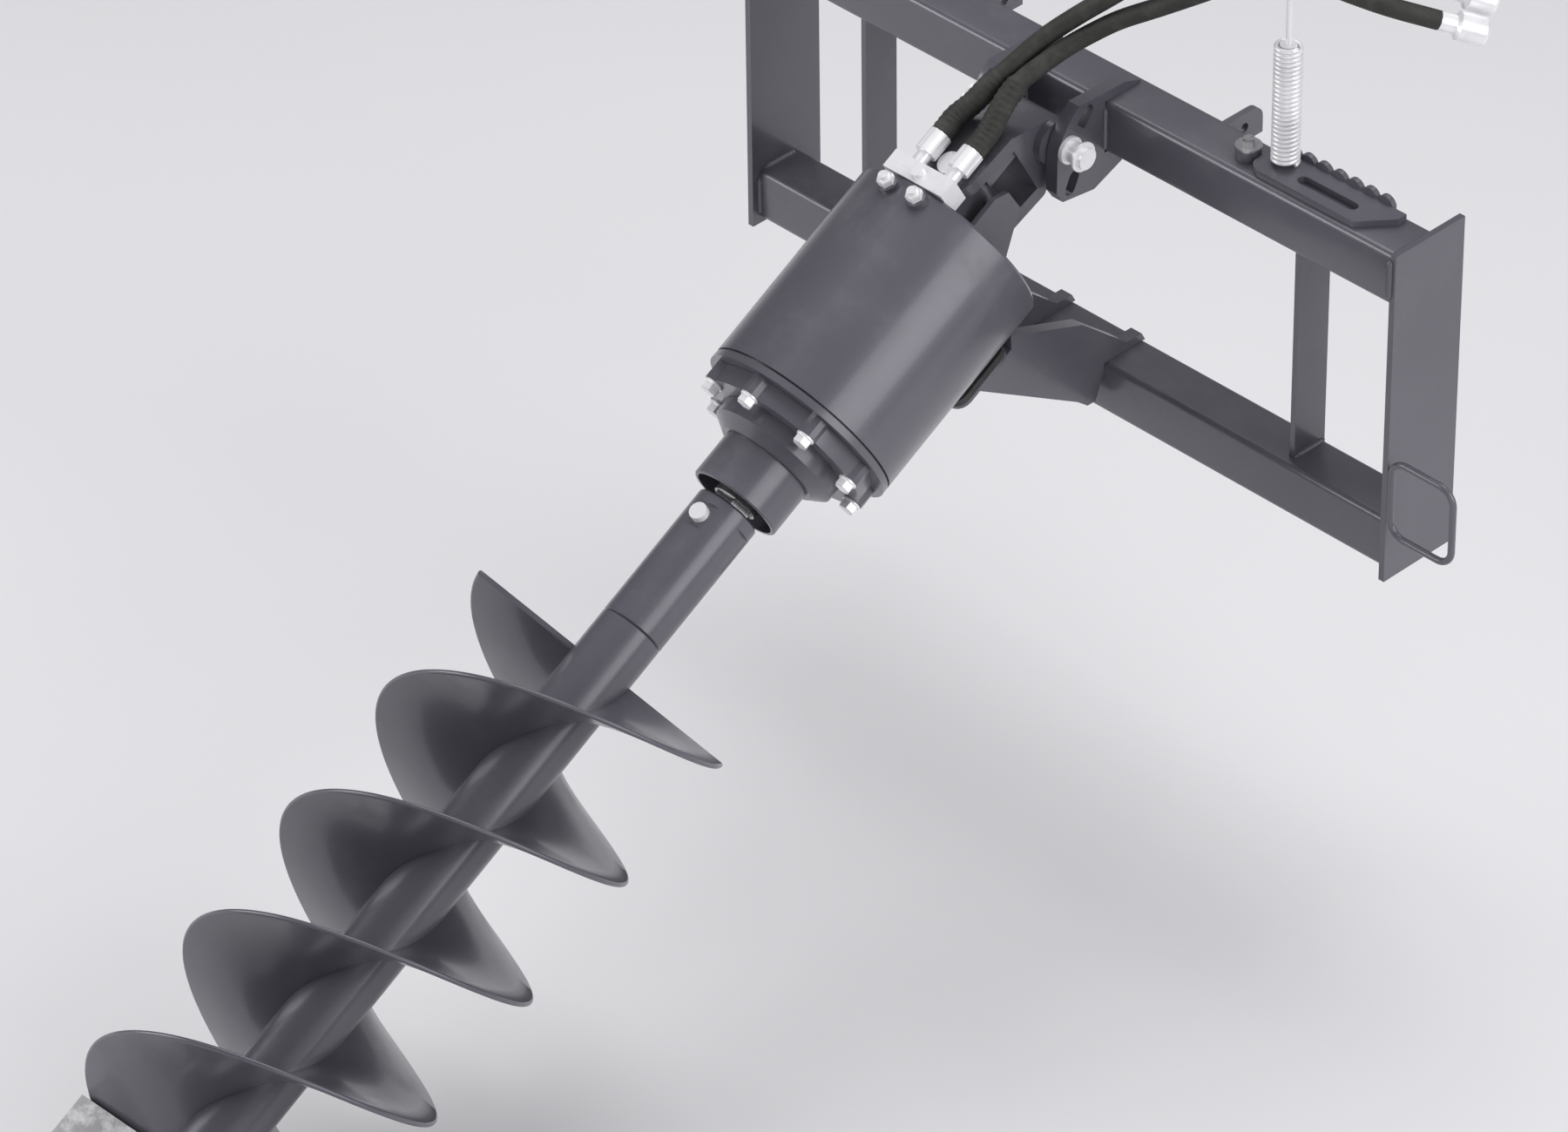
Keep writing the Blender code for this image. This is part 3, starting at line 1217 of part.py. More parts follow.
def hub(output):
    """The socket on the hex shaft: a pin through it, a flat under the pin's head and one beside."""
    edge = HUB_EDGE
    profile = [
        (0.0, -HUB_TOP), (HUB_RADIUS - edge, -HUB_TOP), (HUB_RADIUS, -HUB_TOP - edge),
        (HUB_RADIUS, -HUB_END + edge), (HUB_RADIUS - edge, -HUB_END), (0.0, -HUB_END),
    ]
    body = piece("hub", turned(profile, WIDE_SEGMENTS), "grey_paint", output, 30)
    clearance = 2 * HUB_HEX_CLEARANCE
    socket_end = -HUB_TOP - SHAFT_HEX_LENGTH - HUB_HEX_CLEARANCE
    socket = prism(
        polygon(6, SHAFT_HEX_FLATS + clearance), socket_end, -HUB_TOP + OVERRUN
    )
    pin_depth = -HUB_TOP - HUB_PIN_DEPTH
    reach = HUB_RADIUS + OVERRUN
    flat = HUB_RADIUS - HUB_FLAT_DEPTH
    half = HUB_FLAT_LENGTH / 2
    hole = rod(HUB_PIN_RADIUS + SEAT_GAP, -reach, reach, (0.0, pin_depth), "Y", 16)
    front_flat = box((-half, -reach, pin_depth - half), (half, -flat, pin_depth + half))
    rear_flat = box((-half, flat, pin_depth - half), (half, reach, pin_depth + half))
    side_top = -HUB_TOP - HUB_SIDE_FLAT_DEPTH
    side_flat = box(
        (flat, -half, side_top - HUB_SIDE_FLAT_LENGTH), (reach, half, side_top)
    )
    cut(body, [socket, hole, front_flat, rear_flat, side_flat])
    seat = flat + SEAT_GAP
    head_top = -seat - HUB_PIN_HEAD_LENGTH
    profile = [
        (0.0, head_top), (HUB_PIN_HEAD_RADIUS, head_top), (HUB_PIN_HEAD_RADIUS, -seat),
        (HUB_PIN_RADIUS, -seat), (HUB_PIN_RADIUS, seat + HUB_PIN_NUT_LENGTH),
        (0.0, seat + HUB_PIN_NUT_LENGTH),
    ]
    pin = piece("hub_pin", turned(profile, 16, (0.0, pin_depth), "Y"), "zinc", output, 40)
    outer = polygon(6, 2 * HUB_PIN_NUT_RADIUS, (0.0, pin_depth))
    weld(pin, [prism(outer, seat, seat + HUB_PIN_NUT_LENGTH - SEAT_GAP, "Y")])
    shaft = bpy.data.objects["carrier_shaft"]
    cross = rod(HUB_PIN_RADIUS + SEAT_GAP, -reach, reach, (0.0, pin_depth), "Y", 16)
    cut(shaft, [cross])


def auger_tube(output):
    inner = AUGER_TUBE_RADIUS - AUGER_TUBE_WALL
    tube_body = washer(AUGER_TUBE_RADIUS, inner, -AUGER_END, -AUGER_TOP, count=WIDE_SEGMENTS)
    piece("auger_tube", tube_body, "grey_paint", output, 30)


def flight(name, start_angle, output):
    """One right-handed flight: a radial strip that turns once for each lead that it goes down. Its
    inner edge is made of straight steps, which stay clear of the tube at their middles."""
    inner = (AUGER_TUBE_RADIUS + SEAT_GAP) / math.cos(math.pi / FLIGHT_STEPS_PER_TURN)
    top = -AUGER_TOP - FLIGHT_START
    count = round(FLIGHT_STEPS_PER_TURN * FLIGHT_LENGTH / FLIGHT_LEAD)
    half = FLIGHT_THICKNESS / 2
    sections = []
    for i in range(count + 1):
        fall = FLIGHT_LENGTH * i / count
        angle = math.radians(start_angle) - 2 * math.pi * fall / FLIGHT_LEAD
        x, y = math.cos(angle), math.sin(angle)
        sections.append([
            (inner * x, inner * y, top - fall + half),
            (FLIGHT_RADIUS * x, FLIGHT_RADIUS * y, top - fall + half),
            (FLIGHT_RADIUS * x, FLIGHT_RADIUS * y, top - fall - half),
            (inner * x, inner * y, top - fall - half),
        ])
    piece(name, lofted(sections), "grey_paint", output, 50)


def turned_about_axis(shape, angle, height):
    """A body turned about the drive's axis and moved along it."""
    points, faces = shape
    place = Matrix.Translation((0.0, 0.0, height)) @ Matrix.Rotation(angle, 4, "Z")
    return [tuple(place @ Vector(p)) for p in points], faces


def tooth_shape(start):
    """One digging tooth: a flat wedge that narrows and thins towards its tip, below the plate."""
    half = TOOTH_WIDTH / 2
    tip = TOOTH_TIP_WIDTH / 2
    thin = TOOTH_TIP_THICKNESS
    root = [
        (start - half, 0.0, 0.0), (start + half, 0.0, 0.0),
        (start + half, TOOTH_THICKNESS, 0.0), (start - half, TOOTH_THICKNESS, 0.0),
    ]
    end = [
        (start - tip, 0.0, -TOOTH_LENGTH), (start + tip, 0.0, -TOOTH_LENGTH),
        (start + tip, thin, -TOOTH_LENGTH), (start - tip, thin, -TOOTH_LENGTH),
    ]
    return lofted([root, end])


def cutting_head(output):
    """The digging end: a plate at the foot of each flight with bolted teeth, and the pilot."""
    foot = -AUGER_TOP - FLIGHT_START - FLIGHT_LENGTH
    span = TOOTH_PLATE_REACH - TOOTH_PLATE_INNER
    for start, name in ((FLIGHT_START_ANGLE, "a"), (FLIGHT_START_ANGLE + 180.0, "b")):
        teeth = []
        angle = math.radians(start) - 2 * math.pi * FLIGHT_LENGTH / FLIGHT_LEAD
        gap = FLIGHT_THICKNESS / 2 + SEAT_GAP
        plate = box(
            (TOOTH_PLATE_INNER, 0.0, -gap - TOOTH_PLATE_WIDTH),
            (TOOTH_PLATE_REACH, TOOTH_PLATE_THICKNESS, -gap),
        )
        holder = piece(
            f"tooth_plate_{name}", turned_about_axis(plate, angle, foot), "tooth_steel", output
        )
        for number in range(TOOTH_COUNT):
            middle = TOOTH_PLATE_INNER + span * (number + 0.5) / TOOTH_COUNT
            low = -gap - TOOTH_PLATE_WIDTH / 2
            points, faces = tooth_shape(middle)
            face = OVERRUN - TOOTH_THICKNESS
            points = [(x, y + face, z + low) for x, y, z in points]
            teeth.append(turned_about_axis((points, faces), angle, foot))
        weld(holder, [together(teeth)])
    top = -AUGER_END - SEAT_GAP
    end = top - HEAD_LENGTH
    boss = rod(AUGER_TUBE_RADIUS, end, top, edge=HUB_EDGE)
    pilot = piece("pilot_point", boss, "tooth_steel", output, 30)
    half = PILOT_WIDTH / 2
    tip = end - PILOT_LENGTH
    shoulder = (end + tip) / 2
    outline = [(-half, end), (-half, shoulder), (0.0, tip), (half, shoulder), (half, end)]
    outline += [(half / 2, end + OVERRUN), (-half / 2, end + OVERRUN)]
    weld(pilot, [prism(outline, -PILOT_THICKNESS / 2, PILOT_THICKNESS / 2, "Y")])


def manifold(parent):
    """The port block on the hood's top, with its bolt, capped ports and two hose fittings."""
    base = -HOOD_TOP_DEPTH + SEAT_GAP
    top = base + MANIFOLD_HEIGHT
    front = -MANIFOLD_FRONT
    block = box(
        (-MANIFOLD_HALF_WIDTH, front, base), (MANIFOLD_HALF_WIDTH, front + MANIFOLD_DEPTH, top)
    )
    middle = (base + top) / 2
    bolt = rod(
        MANIFOLD_BOLT_RADIUS, front - MANIFOLD_BOLT_HEAD, front + OVERRUN, (0.0, middle), "Y", 16
    )
    weld(piece("manifold_block", block, "zinc", parent), [bolt])
    for side, name in SIDES:
        place = (side * FITTING_OFFSET, -FITTING_FRONT)
        shell = FITTING_BASE + FITTING_NECK_LENGTH
        neck = rod(FITTING_NECK_RADIUS, FITTING_BASE, shell + OVERRUN, place, count=SMALL_SEGMENTS)
        points = []
        for i in range(2 * FITTING_RIBS):
            radius = FITTING_SHELL_RADIUS - (FITTING_RIB_DEPTH if i % 2 else 0.0)
            angle = math.pi * i / FITTING_RIBS
            points.append((place[0] + radius * math.cos(angle), place[1] + radius * math.sin(angle)))
        ribbed = prism(points, shell, FITTING_TOP)
        weld(piece(f"hose_fitting_{name}", ribbed, "zinc", parent), [neck])


# The hoses' routes in the frame's coordinates: up from the drive, over the upper crossbar and through
# the rod's loop to the loader's side. Chosen by hand.
HOSE_RADIUS = 0.0125
HOSE_STEPS = 28
COUPLER_RADIUS = 0.019
COUPLER_LENGTH = 0.062
COUPLER_STEP = 0.004
HOSE_LEAD = 0.012
LEFT_HOSE = (
    (-0.0277, -0.1600, 0.5000), (-0.0180, -0.1380, 0.5160), (-0.0080, -0.1120, 0.5395),
    (0.0030, -0.0880, 0.5600), (0.0197, -0.0500, 0.5890), (0.0424, -0.0220, 0.6150),
    (0.0700, -0.0020, 0.6420), (0.1200, 0.0180, 0.6880), (0.1900, 0.0350, 0.7400),
    (0.2650, 0.0450, 0.7860), (0.3430, 0.0470, 0.8200), (0.4150, 0.0600, 0.8320),
    (0.4750, 0.0950, 0.8220), (0.5150, 0.1450, 0.7950),
)
RIGHT_HOSE = (
    (0.0278, -0.1600, 0.5005), (0.0265, -0.1400, 0.5190), (0.0250, -0.1180, 0.5370),
    (0.0272, -0.0950, 0.5515), (0.0356, -0.0703, 0.5655), (0.0482, -0.0402, 0.5825),
    (0.0690, -0.0102, 0.6020), (0.0978, 0.0080, 0.6250), (0.1450, 0.0260, 0.6560),
    (0.2050, 0.0410, 0.6980), (0.2720, 0.0480, 0.7480), (0.3430, 0.0470, 0.7900),
    (0.4200, 0.0420, 0.8010), (0.4850, 0.0620, 0.7950), (0.5300, 0.1100, 0.7720),
)


def hoses(parent):
    """Two hoses that leave the fittings straight up the drive, with a coupler on each far end."""
    start = FITTING_TOP + SEAT_GAP
    lead = [from_drive(-FITTING_FRONT, -start), from_drive(-FITTING_FRONT, -start - HOSE_LEAD)]
    for (side, name), way in zip(SIDES, (LEFT_HOSE, RIGHT_HOSE)):
        way = [*((side * FITTING_OFFSET, y, z) for y, z in lead), *way]
        line = smooth_route(way, HOSE_STEPS)
        tube(f"hose_{name}", line, HOSE_RADIUS, "hose_rubber", parent)
        aim = (line[-1] - line[-2]).normalized()
        turn = Vector((0.0, 0.0, 1.0)).rotation_difference(aim).to_matrix().to_4x4()
        place = Matrix.Translation(line[-1] + aim * SEAT_GAP) @ turn
        profile = [
            (0.0, 0.0), (HOSE_RADIUS, 0.0), (HOSE_RADIUS, COUPLER_LENGTH / 3),
            (COUPLER_RADIUS, COUPLER_LENGTH / 3 + COUPLER_STEP),
            (COUPLER_RADIUS, COUPLER_LENGTH - COUPLER_STEP),
            (COUPLER_RADIUS - COUPLER_STEP, COUPLER_LENGTH), (0.0, COUPLER_LENGTH),
        ]
        points, faces = turned(profile, 16)
        points = [tuple(place @ Vector(p)) for p in points]
        piece(f"hose_coupler_{name}", (points, faces), "zinc", parent, 40)


def build():
    clear_scene()
    frame = empty("frame_corner", (0.0, -SIDE_PLATE_DEPTH, -MOUNT_HEIGHT))
    tilt = (-REST_TILT, 0.0, 0.0)
    swing = empty("swing_axis", (0.0, SWING_Y, SWING_Z), tilt, frame)
    place = (0.0, AXIS_OFFSET, -SWIVEL_DROP)
    rest = empty("saddle_place", (0.0, SWING_Y, SWING_Z), tilt, frame)
    saddle_centre = empty("saddle_centre", place, parent=rest)
    drive = empty("swivel_axis", place, parent=swing)
    output = empty("output_axis", (0.0, 0.0, 0.0), parent=drive)
    sun = empty("sun_axis", (0.0, 0.0, 0.0), parent=drive)
    stand = empty("hose_stand_axis", (0.0, 0.0, 0.0), parent=frame)

    side_plates(frame)
    crossbars(frame)
    inner_posts(frame)
    hook_lip(frame)
    latch_plate(frame)
    rear_bar(frame)
    rear_lugs(frame)
    pivot_ears(frame)
    swing_pin(frame)
    cradle_arms(frame)
    saddle(saddle_centre)
    step_tread(frame)
    clamp(frame)
    base, top = hose_spring(frame)
    hose_rod(base, top, stand)
    guide_ring(frame)

    knuckle(swing)
    swivel_pin(drive)
    drive_lug(drive)
    hood(drive)
    motor(drive)
    manifold(drive)
    gear_train(drive, output, sun)
    output_end(drive)
    hub(output)
    auger_tube(output)
    flight("flight_a", FLIGHT_START_ANGLE, output)
    flight("flight_b", FLIGHT_START_ANGLE + 180.0, output)
    cutting_head(output)
    hoses(frame)


build()
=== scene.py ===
"""Dresses the earth auger drive: finishes for every piece, smooth flights, hoses, coil, rods and
welds, and the studio with its camera. Lengths are in metres."""
import json
import math

import bpy
import numpy as np
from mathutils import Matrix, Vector


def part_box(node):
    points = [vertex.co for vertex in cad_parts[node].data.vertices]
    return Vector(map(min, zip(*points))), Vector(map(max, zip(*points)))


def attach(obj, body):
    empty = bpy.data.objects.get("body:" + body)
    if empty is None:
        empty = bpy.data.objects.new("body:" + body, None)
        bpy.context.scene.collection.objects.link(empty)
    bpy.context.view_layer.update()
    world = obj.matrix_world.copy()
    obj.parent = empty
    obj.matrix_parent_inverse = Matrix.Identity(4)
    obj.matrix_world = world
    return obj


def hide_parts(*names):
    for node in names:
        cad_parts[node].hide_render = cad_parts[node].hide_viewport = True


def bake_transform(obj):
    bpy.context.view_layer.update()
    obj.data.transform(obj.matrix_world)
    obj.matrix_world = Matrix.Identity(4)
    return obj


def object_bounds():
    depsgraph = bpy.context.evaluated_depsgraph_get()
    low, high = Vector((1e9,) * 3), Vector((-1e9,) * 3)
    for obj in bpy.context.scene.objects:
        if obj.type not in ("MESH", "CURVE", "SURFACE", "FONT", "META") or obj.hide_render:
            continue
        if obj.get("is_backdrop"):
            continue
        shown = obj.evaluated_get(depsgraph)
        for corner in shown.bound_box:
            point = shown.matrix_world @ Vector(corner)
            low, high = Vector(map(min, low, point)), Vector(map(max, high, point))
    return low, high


bl_info = {
    "name": "Earth auger drive",
    "version": (1, 0, 0),
    "blender": (4, 5, 0),
    "location": "View3D > Sidebar > Auger",
    "description": "Builds the finishes and fine pieces of an earth auger drive",
    "category": "Object",
}

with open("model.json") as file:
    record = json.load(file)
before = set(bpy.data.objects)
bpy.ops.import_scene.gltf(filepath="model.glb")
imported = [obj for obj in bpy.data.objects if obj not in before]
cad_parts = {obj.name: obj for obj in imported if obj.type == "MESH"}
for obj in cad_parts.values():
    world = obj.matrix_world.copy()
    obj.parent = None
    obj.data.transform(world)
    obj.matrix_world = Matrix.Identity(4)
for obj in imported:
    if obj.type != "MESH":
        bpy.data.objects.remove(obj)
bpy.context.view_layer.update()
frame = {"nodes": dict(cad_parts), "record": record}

# The drive at rest, in the frame's own coordinates: the swing pin's place and the drive's tilt
REST_TILT = math.radians(60.64)
SWING = np.array([0.0, -0.194, 0.4292])
AXIS_OFFSET = 0.0296
SWIVEL_DROP = 0.113
CORNER = np.array([0.0, -0.127, -0.0278])

# The two flights, in the drive's own coordinates
FLIGHT_TOP = 0.7654
FLIGHT_DROP = 0.800
FLIGHT_LEAD = 0.381
FLIGHT_OUTER = 0.194
FLIGHT_INNER = 0.0436
FLIGHT_HALF = 0.0034
FLIGHT_STARTS = (35.3, 215.3)
FLIGHT_STEPS = 420
EDGE_STEPS = 9
SPAN_STEPS = 7

# Weld beads: their step and ripple lengths, how far they stop short of a corner and how far the
# lines on the drive's top stand off it
WELD_STEP = 0.0016
WELD_RIPPLE = 0.0052
WELD_SWELL = 0.16
WELD_INSET = 0.008
EAR_WELD_INSET = 0.004
WELD_LIFT = 0.0005
HOOD_TOP = 0.0564
GUSSET_FACES = (0.052, 0.059)
GUSSET_REACH = 0.080
LUG_HALF_WIDTH = 0.038
LUG_REACH = (-0.071, 0.011)

# The coil, the rod's loop and the guide ring
SPRING_PLACE = (0.343, 0.047)
SPRING_MIDDLE = 0.0159
SPRING_WIRE = 0.0031
SPRING_PITCH = 0.0066
SPRING_TURNS = 26
TREAD_TOP = 0.5061
LOOP_RADIUS = 0.040
LOOP_SWEEP = 330.0
ROD_RADIUS = 0.004
RING_CORNER = 0.023
COIL_STEPS = 40
LOOP_STEPS = 90
STEM_STEPS = 12
CORNER_STEPS = 12

# The hoses, with the routes that the solids have
HOSE_RADIUS = 0.0125
SLEEVE_RADIUS = 0.0152
SLEEVE_LENGTH = 0.105
FITTING_TOP = 0.0235
FITTING_FRONT = 0.1125
FITTING_OFFSET = 0.028
HOSE_LEAD = 0.012
LEFT_HOSE = (
    (-0.0277, -0.1600, 0.5000), (-0.0180, -0.1380, 0.5160), (-0.0080, -0.1120, 0.5395),
    (0.0030, -0.0880, 0.5600), (0.0197, -0.0500, 0.5890), (0.0424, -0.0220, 0.6150),
    (0.0700, -0.0020, 0.6420), (0.1200, 0.0180, 0.6880), (0.1900, 0.0350, 0.7400),
    (0.2650, 0.0450, 0.7860), (0.3430, 0.0470, 0.8200), (0.4150, 0.0600, 0.8320),
    (0.4750, 0.0950, 0.8220), (0.5150, 0.1450, 0.7950),
)
RIGHT_HOSE = (
    (0.0278, -0.1600, 0.5005), (0.0265, -0.1400, 0.5190), (0.0250, -0.1180, 0.5370),
    (0.0272, -0.0950, 0.5515), (0.0356, -0.0703, 0.5655), (0.0482, -0.0402, 0.5825),
    (0.0690, -0.0102, 0.6020), (0.0978, 0.0080, 0.6250), (0.1450, 0.0260, 0.6560),
    (0.2050, 0.0410, 0.6980), (0.2720, 0.0480, 0.7480), (0.3430, 0.0470, 0.7900),
    (0.4200, 0.0420, 0.8010), (0.4850, 0.0620, 0.7950), (0.5300, 0.1100, 0.7720),
)
HOSE_STEPS = 560
HOSE_SIDES = 28
SLEEVE_FADE = 0.0012
WRAP_HEIGHT = 0.0004
WRAP_PITCH = 0.0085
COVER_HEIGHT = 0.00016
COVER_PITCH = 0.0042

# Plated shells over the bolts and caps, in the drive's own coordinates
SKIN = 0.0004
FLANGE_BOLTS = 8
FLANGE_CIRCLE = 0.1147
FLANGE_HEIGHTS = (0.3957, 0.3985, 0.4095)
WASHER_RADIUS = 0.0125
BOLT_FLATS = 0.019
PORT_PLACE = (0.025, -0.074)
PORT_HEIGHTS = (0.1434, 0.1536, 0.1596)
TIP_RADIUS = 0.0065

# Shading of the solids
MERGE_DISTANCE = 0.00002
CREASE_ANGLE = 32.0
SHARP_FLIGHT = 50
SHARP_HEAD = 25

# The studio: each light's name, place, size, share of the power and aim, and the camera that
# was fitted to the photo
FLOOR_REACH = 30.0
FLOOR_DROP = 0.02
SKY_STRENGTH = 0.66
CAMERA_PLACE = (6.2319, -6.6792, 6.3895)
CAMERA_BACK = (0.5646, -0.5730, 0.5942)
CAMERA_LENS = 196.1
CAMERA_SHIFT = (-0.0955, -0.004)
LIGHTS = (
    ("key", (4.6, 0.6, 2.4), (4.2, 3.6), 0.26, (0.2, -0.6, 0.2)),
    ("top", (-0.6, 0.8, 4.4), (3.6, 3.0), 0.20, (0.0, -0.6, 0.0)),
    ("front", (-3.6, -4.4, 2.0), (3.4, 2.8), 0.27, (0.0, -0.6, 0.1)),
    ("strip", (3.4, -3.6, 0.9), (1.6, 3.2), 0.04, (0.0, -0.9, 0.0)),
)

FINISHES = {}


def from_drive(points):
    """Points given in the drive's own coordinates, turned by its tilt about the swing pin."""
    x, y, z = np.moveaxis(np.asarray(points, float), -1, 0)
    y = y + AXIS_OFFSET
    z = z - SWIVEL_DROP
    c, s = math.cos(REST_TILT), math.sin(REST_TILT)
    return np.stack([x, SWING[1] + y * c + z * s, SWING[2] - y * s + z * c], axis=-1)


def from_frame(points):
    """Points given from the side plates' front bottom edge, moved to the model's origin."""
    return np.asarray(points, float) + CORNER


class Sig:
    """A shader socket with arithmetic: each operator adds one node and returns its output."""

    def __init__(self, tree, socket):
        self.tree = tree
        self.socket = socket

    def node(self, kind, inputs=None, output=0, **properties):
        """Any other node, with its properties and its inputs by name or number."""
        made = self.tree.nodes.new(kind)
        for key, value in properties.items():
            setattr(made, key, value)
        for key, value in (inputs or {}).items():
            self.put(made.inputs[key], value)
        return Sig(self.tree, made.outputs[output])

    def put(self, socket, value):
        if isinstance(value, Sig):
            self.tree.links.new(value.socket, socket)
        else:
            socket.default_value = value

    def maths(self, operation, *values):
        return self.node("ShaderNodeMath", dict(enumerate(values)), operation=operation)

    def __add__(self, other):
        return self.maths("ADD", self, other)

    def __radd__(self, other):
        return self.maths("ADD", other, self)

    def __sub__(self, other):
        return self.maths("SUBTRACT", self, other)

    def __rsub__(self, other):
        return self.maths("SUBTRACT", other, self)

    def __mul__(self, other):
        return self.maths("MULTIPLY", self, other)

    def __rmul__(self, other):
        return self.maths("MULTIPLY", other, self)

    def ramp(self, low, high):
        """0 below low, 1 above high and a smooth step between them."""
        inputs = {"Value": self, "From Min": low, "From Max": high}
        return self.node("ShaderNodeMapRange", inputs, interpolation_type="SMOOTHSTEP")

    def noise(self, scale, detail=3.0, rough=0.55):
        inputs = {"Vector": self, "Scale": scale, "Detail": detail, "Roughness": rough}
        return self.node("ShaderNodeTexNoise", inputs)

    def between(self, first, second):
        """The first colour where this is 0 and the second where it is 1."""
        mix = self.tree.nodes.new("ShaderNodeMix")
        mix.data_type = "RGBA"
        self.put(mix.inputs[0], self)
        for place, colour in ((6, first), (7, second)):
            value = colour if isinstance(colour, Sig) else (*colour, 1.0)
            self.put(mix.inputs[place], value)
        return Sig(self.tree, mix.outputs[2])

    def bump(self, strength, distance):
        inputs = {"Height": self, "Strength": strength, "Distance": distance}
        return self.node("ShaderNodeBump", inputs)


def finish(name, build, **constants):
    """A material: constants go on the Principled shader's sockets, and build returns the inputs
    that vary, given the object coordinates."""
    material = bpy.data.materials.new(name)
    material.use_nodes = True
    tree = material.node_tree
    shader = tree.nodes["Principled BSDF"]
    for key, value in constants.items():
        shader.inputs[key.replace("_", " ")].default_value = value
    start = tree.nodes.new("ShaderNodeTexCoord")
    place = Sig(tree, start.outputs["Object"])
    for key, value in build(place).items():
        place.put(shader.inputs[key], value)
    return material


def grey_paint(name, colour):
    """Glossy paint with a metallic base, a faint orange peel and a little handling dust."""

    def build(place):
        broad = place.noise(2.2)
        dust = place.noise(9.0, 6.0, 0.7).ramp(0.48, 0.78)
        peel = place.noise(210.0, 2.0)
        light = tuple(1.14 * value + 0.006 for value in colour)
        base = broad.ramp(0.3, 0.7).between(colour, light)
        return {
            "Base Color": (dust * 0.22).between(base, (0.23, 0.225, 0.235)),
            "Roughness": 0.30 + 0.10 * broad + 0.13 * dust,
            "Coat Weight": 0.45 - 0.3 * dust,
            "Normal": peel.bump(0.06, 0.0006),
        }

    return finish(name, build, Metallic=0.25, Coat_Roughness=0.14)


def bright_metal(name, colour, rough, grain, metallic=0.9):
    """Plated or machined steel: fine noise in the roughness and a thin tarnish."""

    def build(place):
        fine = place.noise(grain, 4.0)
        tarnish = place.noise(14.0, 4.0).ramp(0.5, 0.8)
        dark = tuple(0.62 * value for value in colour)
        return {
            "Base Color": (tarnish * 0.6).between(colour, dark),
            "Roughness": rough + 0.16 * fine + 0.12 * tarnish,
            "Normal": fine.bump(0.08, 0.0005),
        }

    return finish(name, build, Metallic=metallic)


def forged_steel(name):
    """Worn tooth steel: bare at the rubbed places and dark scale elsewhere."""

    def build(place):
        worn = place.noise(34.0, 6.0, 0.65).ramp(0.42, 0.62)
        pits = place.noise(160.0, 4.0)
        return {
            "Base Color": worn.between((0.36, 0.36, 0.365), (0.52, 0.52, 0.525)),
            "Roughness": 0.56 - 0.2 * worn,
            "Metallic": 0.1 + 0.3 * worn,
            "Normal": pits.bump(0.3, 0.001),
        }

    return finish(name, build)


def rubber(name, colour):
    """Matt rubber with a dusty bloom."""

    def build(place):
        bloom = place.noise(26.0, 5.0, 0.7)
        dusty = tuple(1.9 * value + 0.012 for value in colour)
        return {
            "Base Color": bloom.ramp(0.4, 0.75).between(colour, dusty),
            "Roughness": 0.52 + 0.3 * bloom,
            "Normal": place.noise(420.0, 3.0).bump(0.25, 0.0006),
        }

    return finish(name, build, Metallic=0.0)


def make_finishes():
    """Every finish by its record slot."""
    return {
        "grey_paint": grey_paint("paint_grey", tuple(settings().paint)),
        "zinc": bright_metal("zinc_plate", (0.93, 0.93, 0.94), 0.22, 90.0, 0.35),
        "steel": bright_metal("turned_steel", (0.44, 0.44, 0.45), 0.22, 220.0),
        "gear_steel": bright_metal("ground_steel", (0.36, 0.36, 0.37), 0.18, 300.0),
        "tooth_steel": forged_steel("tooth_steel"),
        "rubber": rubber("pad_rubber", (0.022, 0.022, 0.021)),
        "hose_rubber": rubber("hose_rubber", (0.022, 0.022, 0.019)),
    }


def settings():
    return bpy.context.scene.auger_settings


def put(name, rows, slot_name, closed_along=False):
    """One mesh from closed rows of points, an array of (rows, points, 3), with quads between them.
    The end rows are filled unless the rows close on themselves."""
    rows = np.asarray(rows, float)
    count, width, _ = rows.shape
    index = np.arange(count * width).reshape(count, width)
    near = index if closed_along else index[:-1]
    far = np.roll(index, -1, 0) if closed_along else index[1:]
    quads = np.stack([near, np.roll(near, -1, 1), np.roll(far, -1, 1), far], -1)
    faces = quads.reshape(-1, 4).tolist()
    if not closed_along:
        faces += [index[0][::-1].tolist(), index[-1].tolist()]
    mesh = bpy.data.meshes.new(name)
    mesh.from_pydata(rows.reshape(-1, 3).tolist(), [], faces)
    mesh.polygons.foreach_set("use_smooth", [True] * len(mesh.polygons))
    mesh.update()
    obj = bpy.data.objects.new(name, mesh)
    bpy.context.scene.collection.objects.link(obj)
    mesh.materials.append(FINISHES[slot_name])
    outward(obj)
    return obj


def outward(obj):
    """Turn the faces outwards where the signed volume under them is negative."""
    mesh = obj.data
    mesh.calc_loop_triangles()
    corners = np.empty(len(mesh.loop_triangles) * 3, int)
    mesh.loop_triangles.foreach_get("vertices", corners)
    points = np.empty(len(mesh.vertices) * 3)
    mesh.vertices.foreach_get("co", points)
    a, b, c = np.moveaxis(points.reshape(-1, 3)[corners.reshape(-1, 3)], 1, 0)
    if np.einsum("ij,ij->", a, np.cross(b, c)) < 0:
        mesh.flip_normals()


def smooth_sharp(obj, degrees):
    """Keep edges sharper than an angle crisp on a smooth piece."""
    obj.data.set_sharp_from_angle(angle=math.radians(degrees))


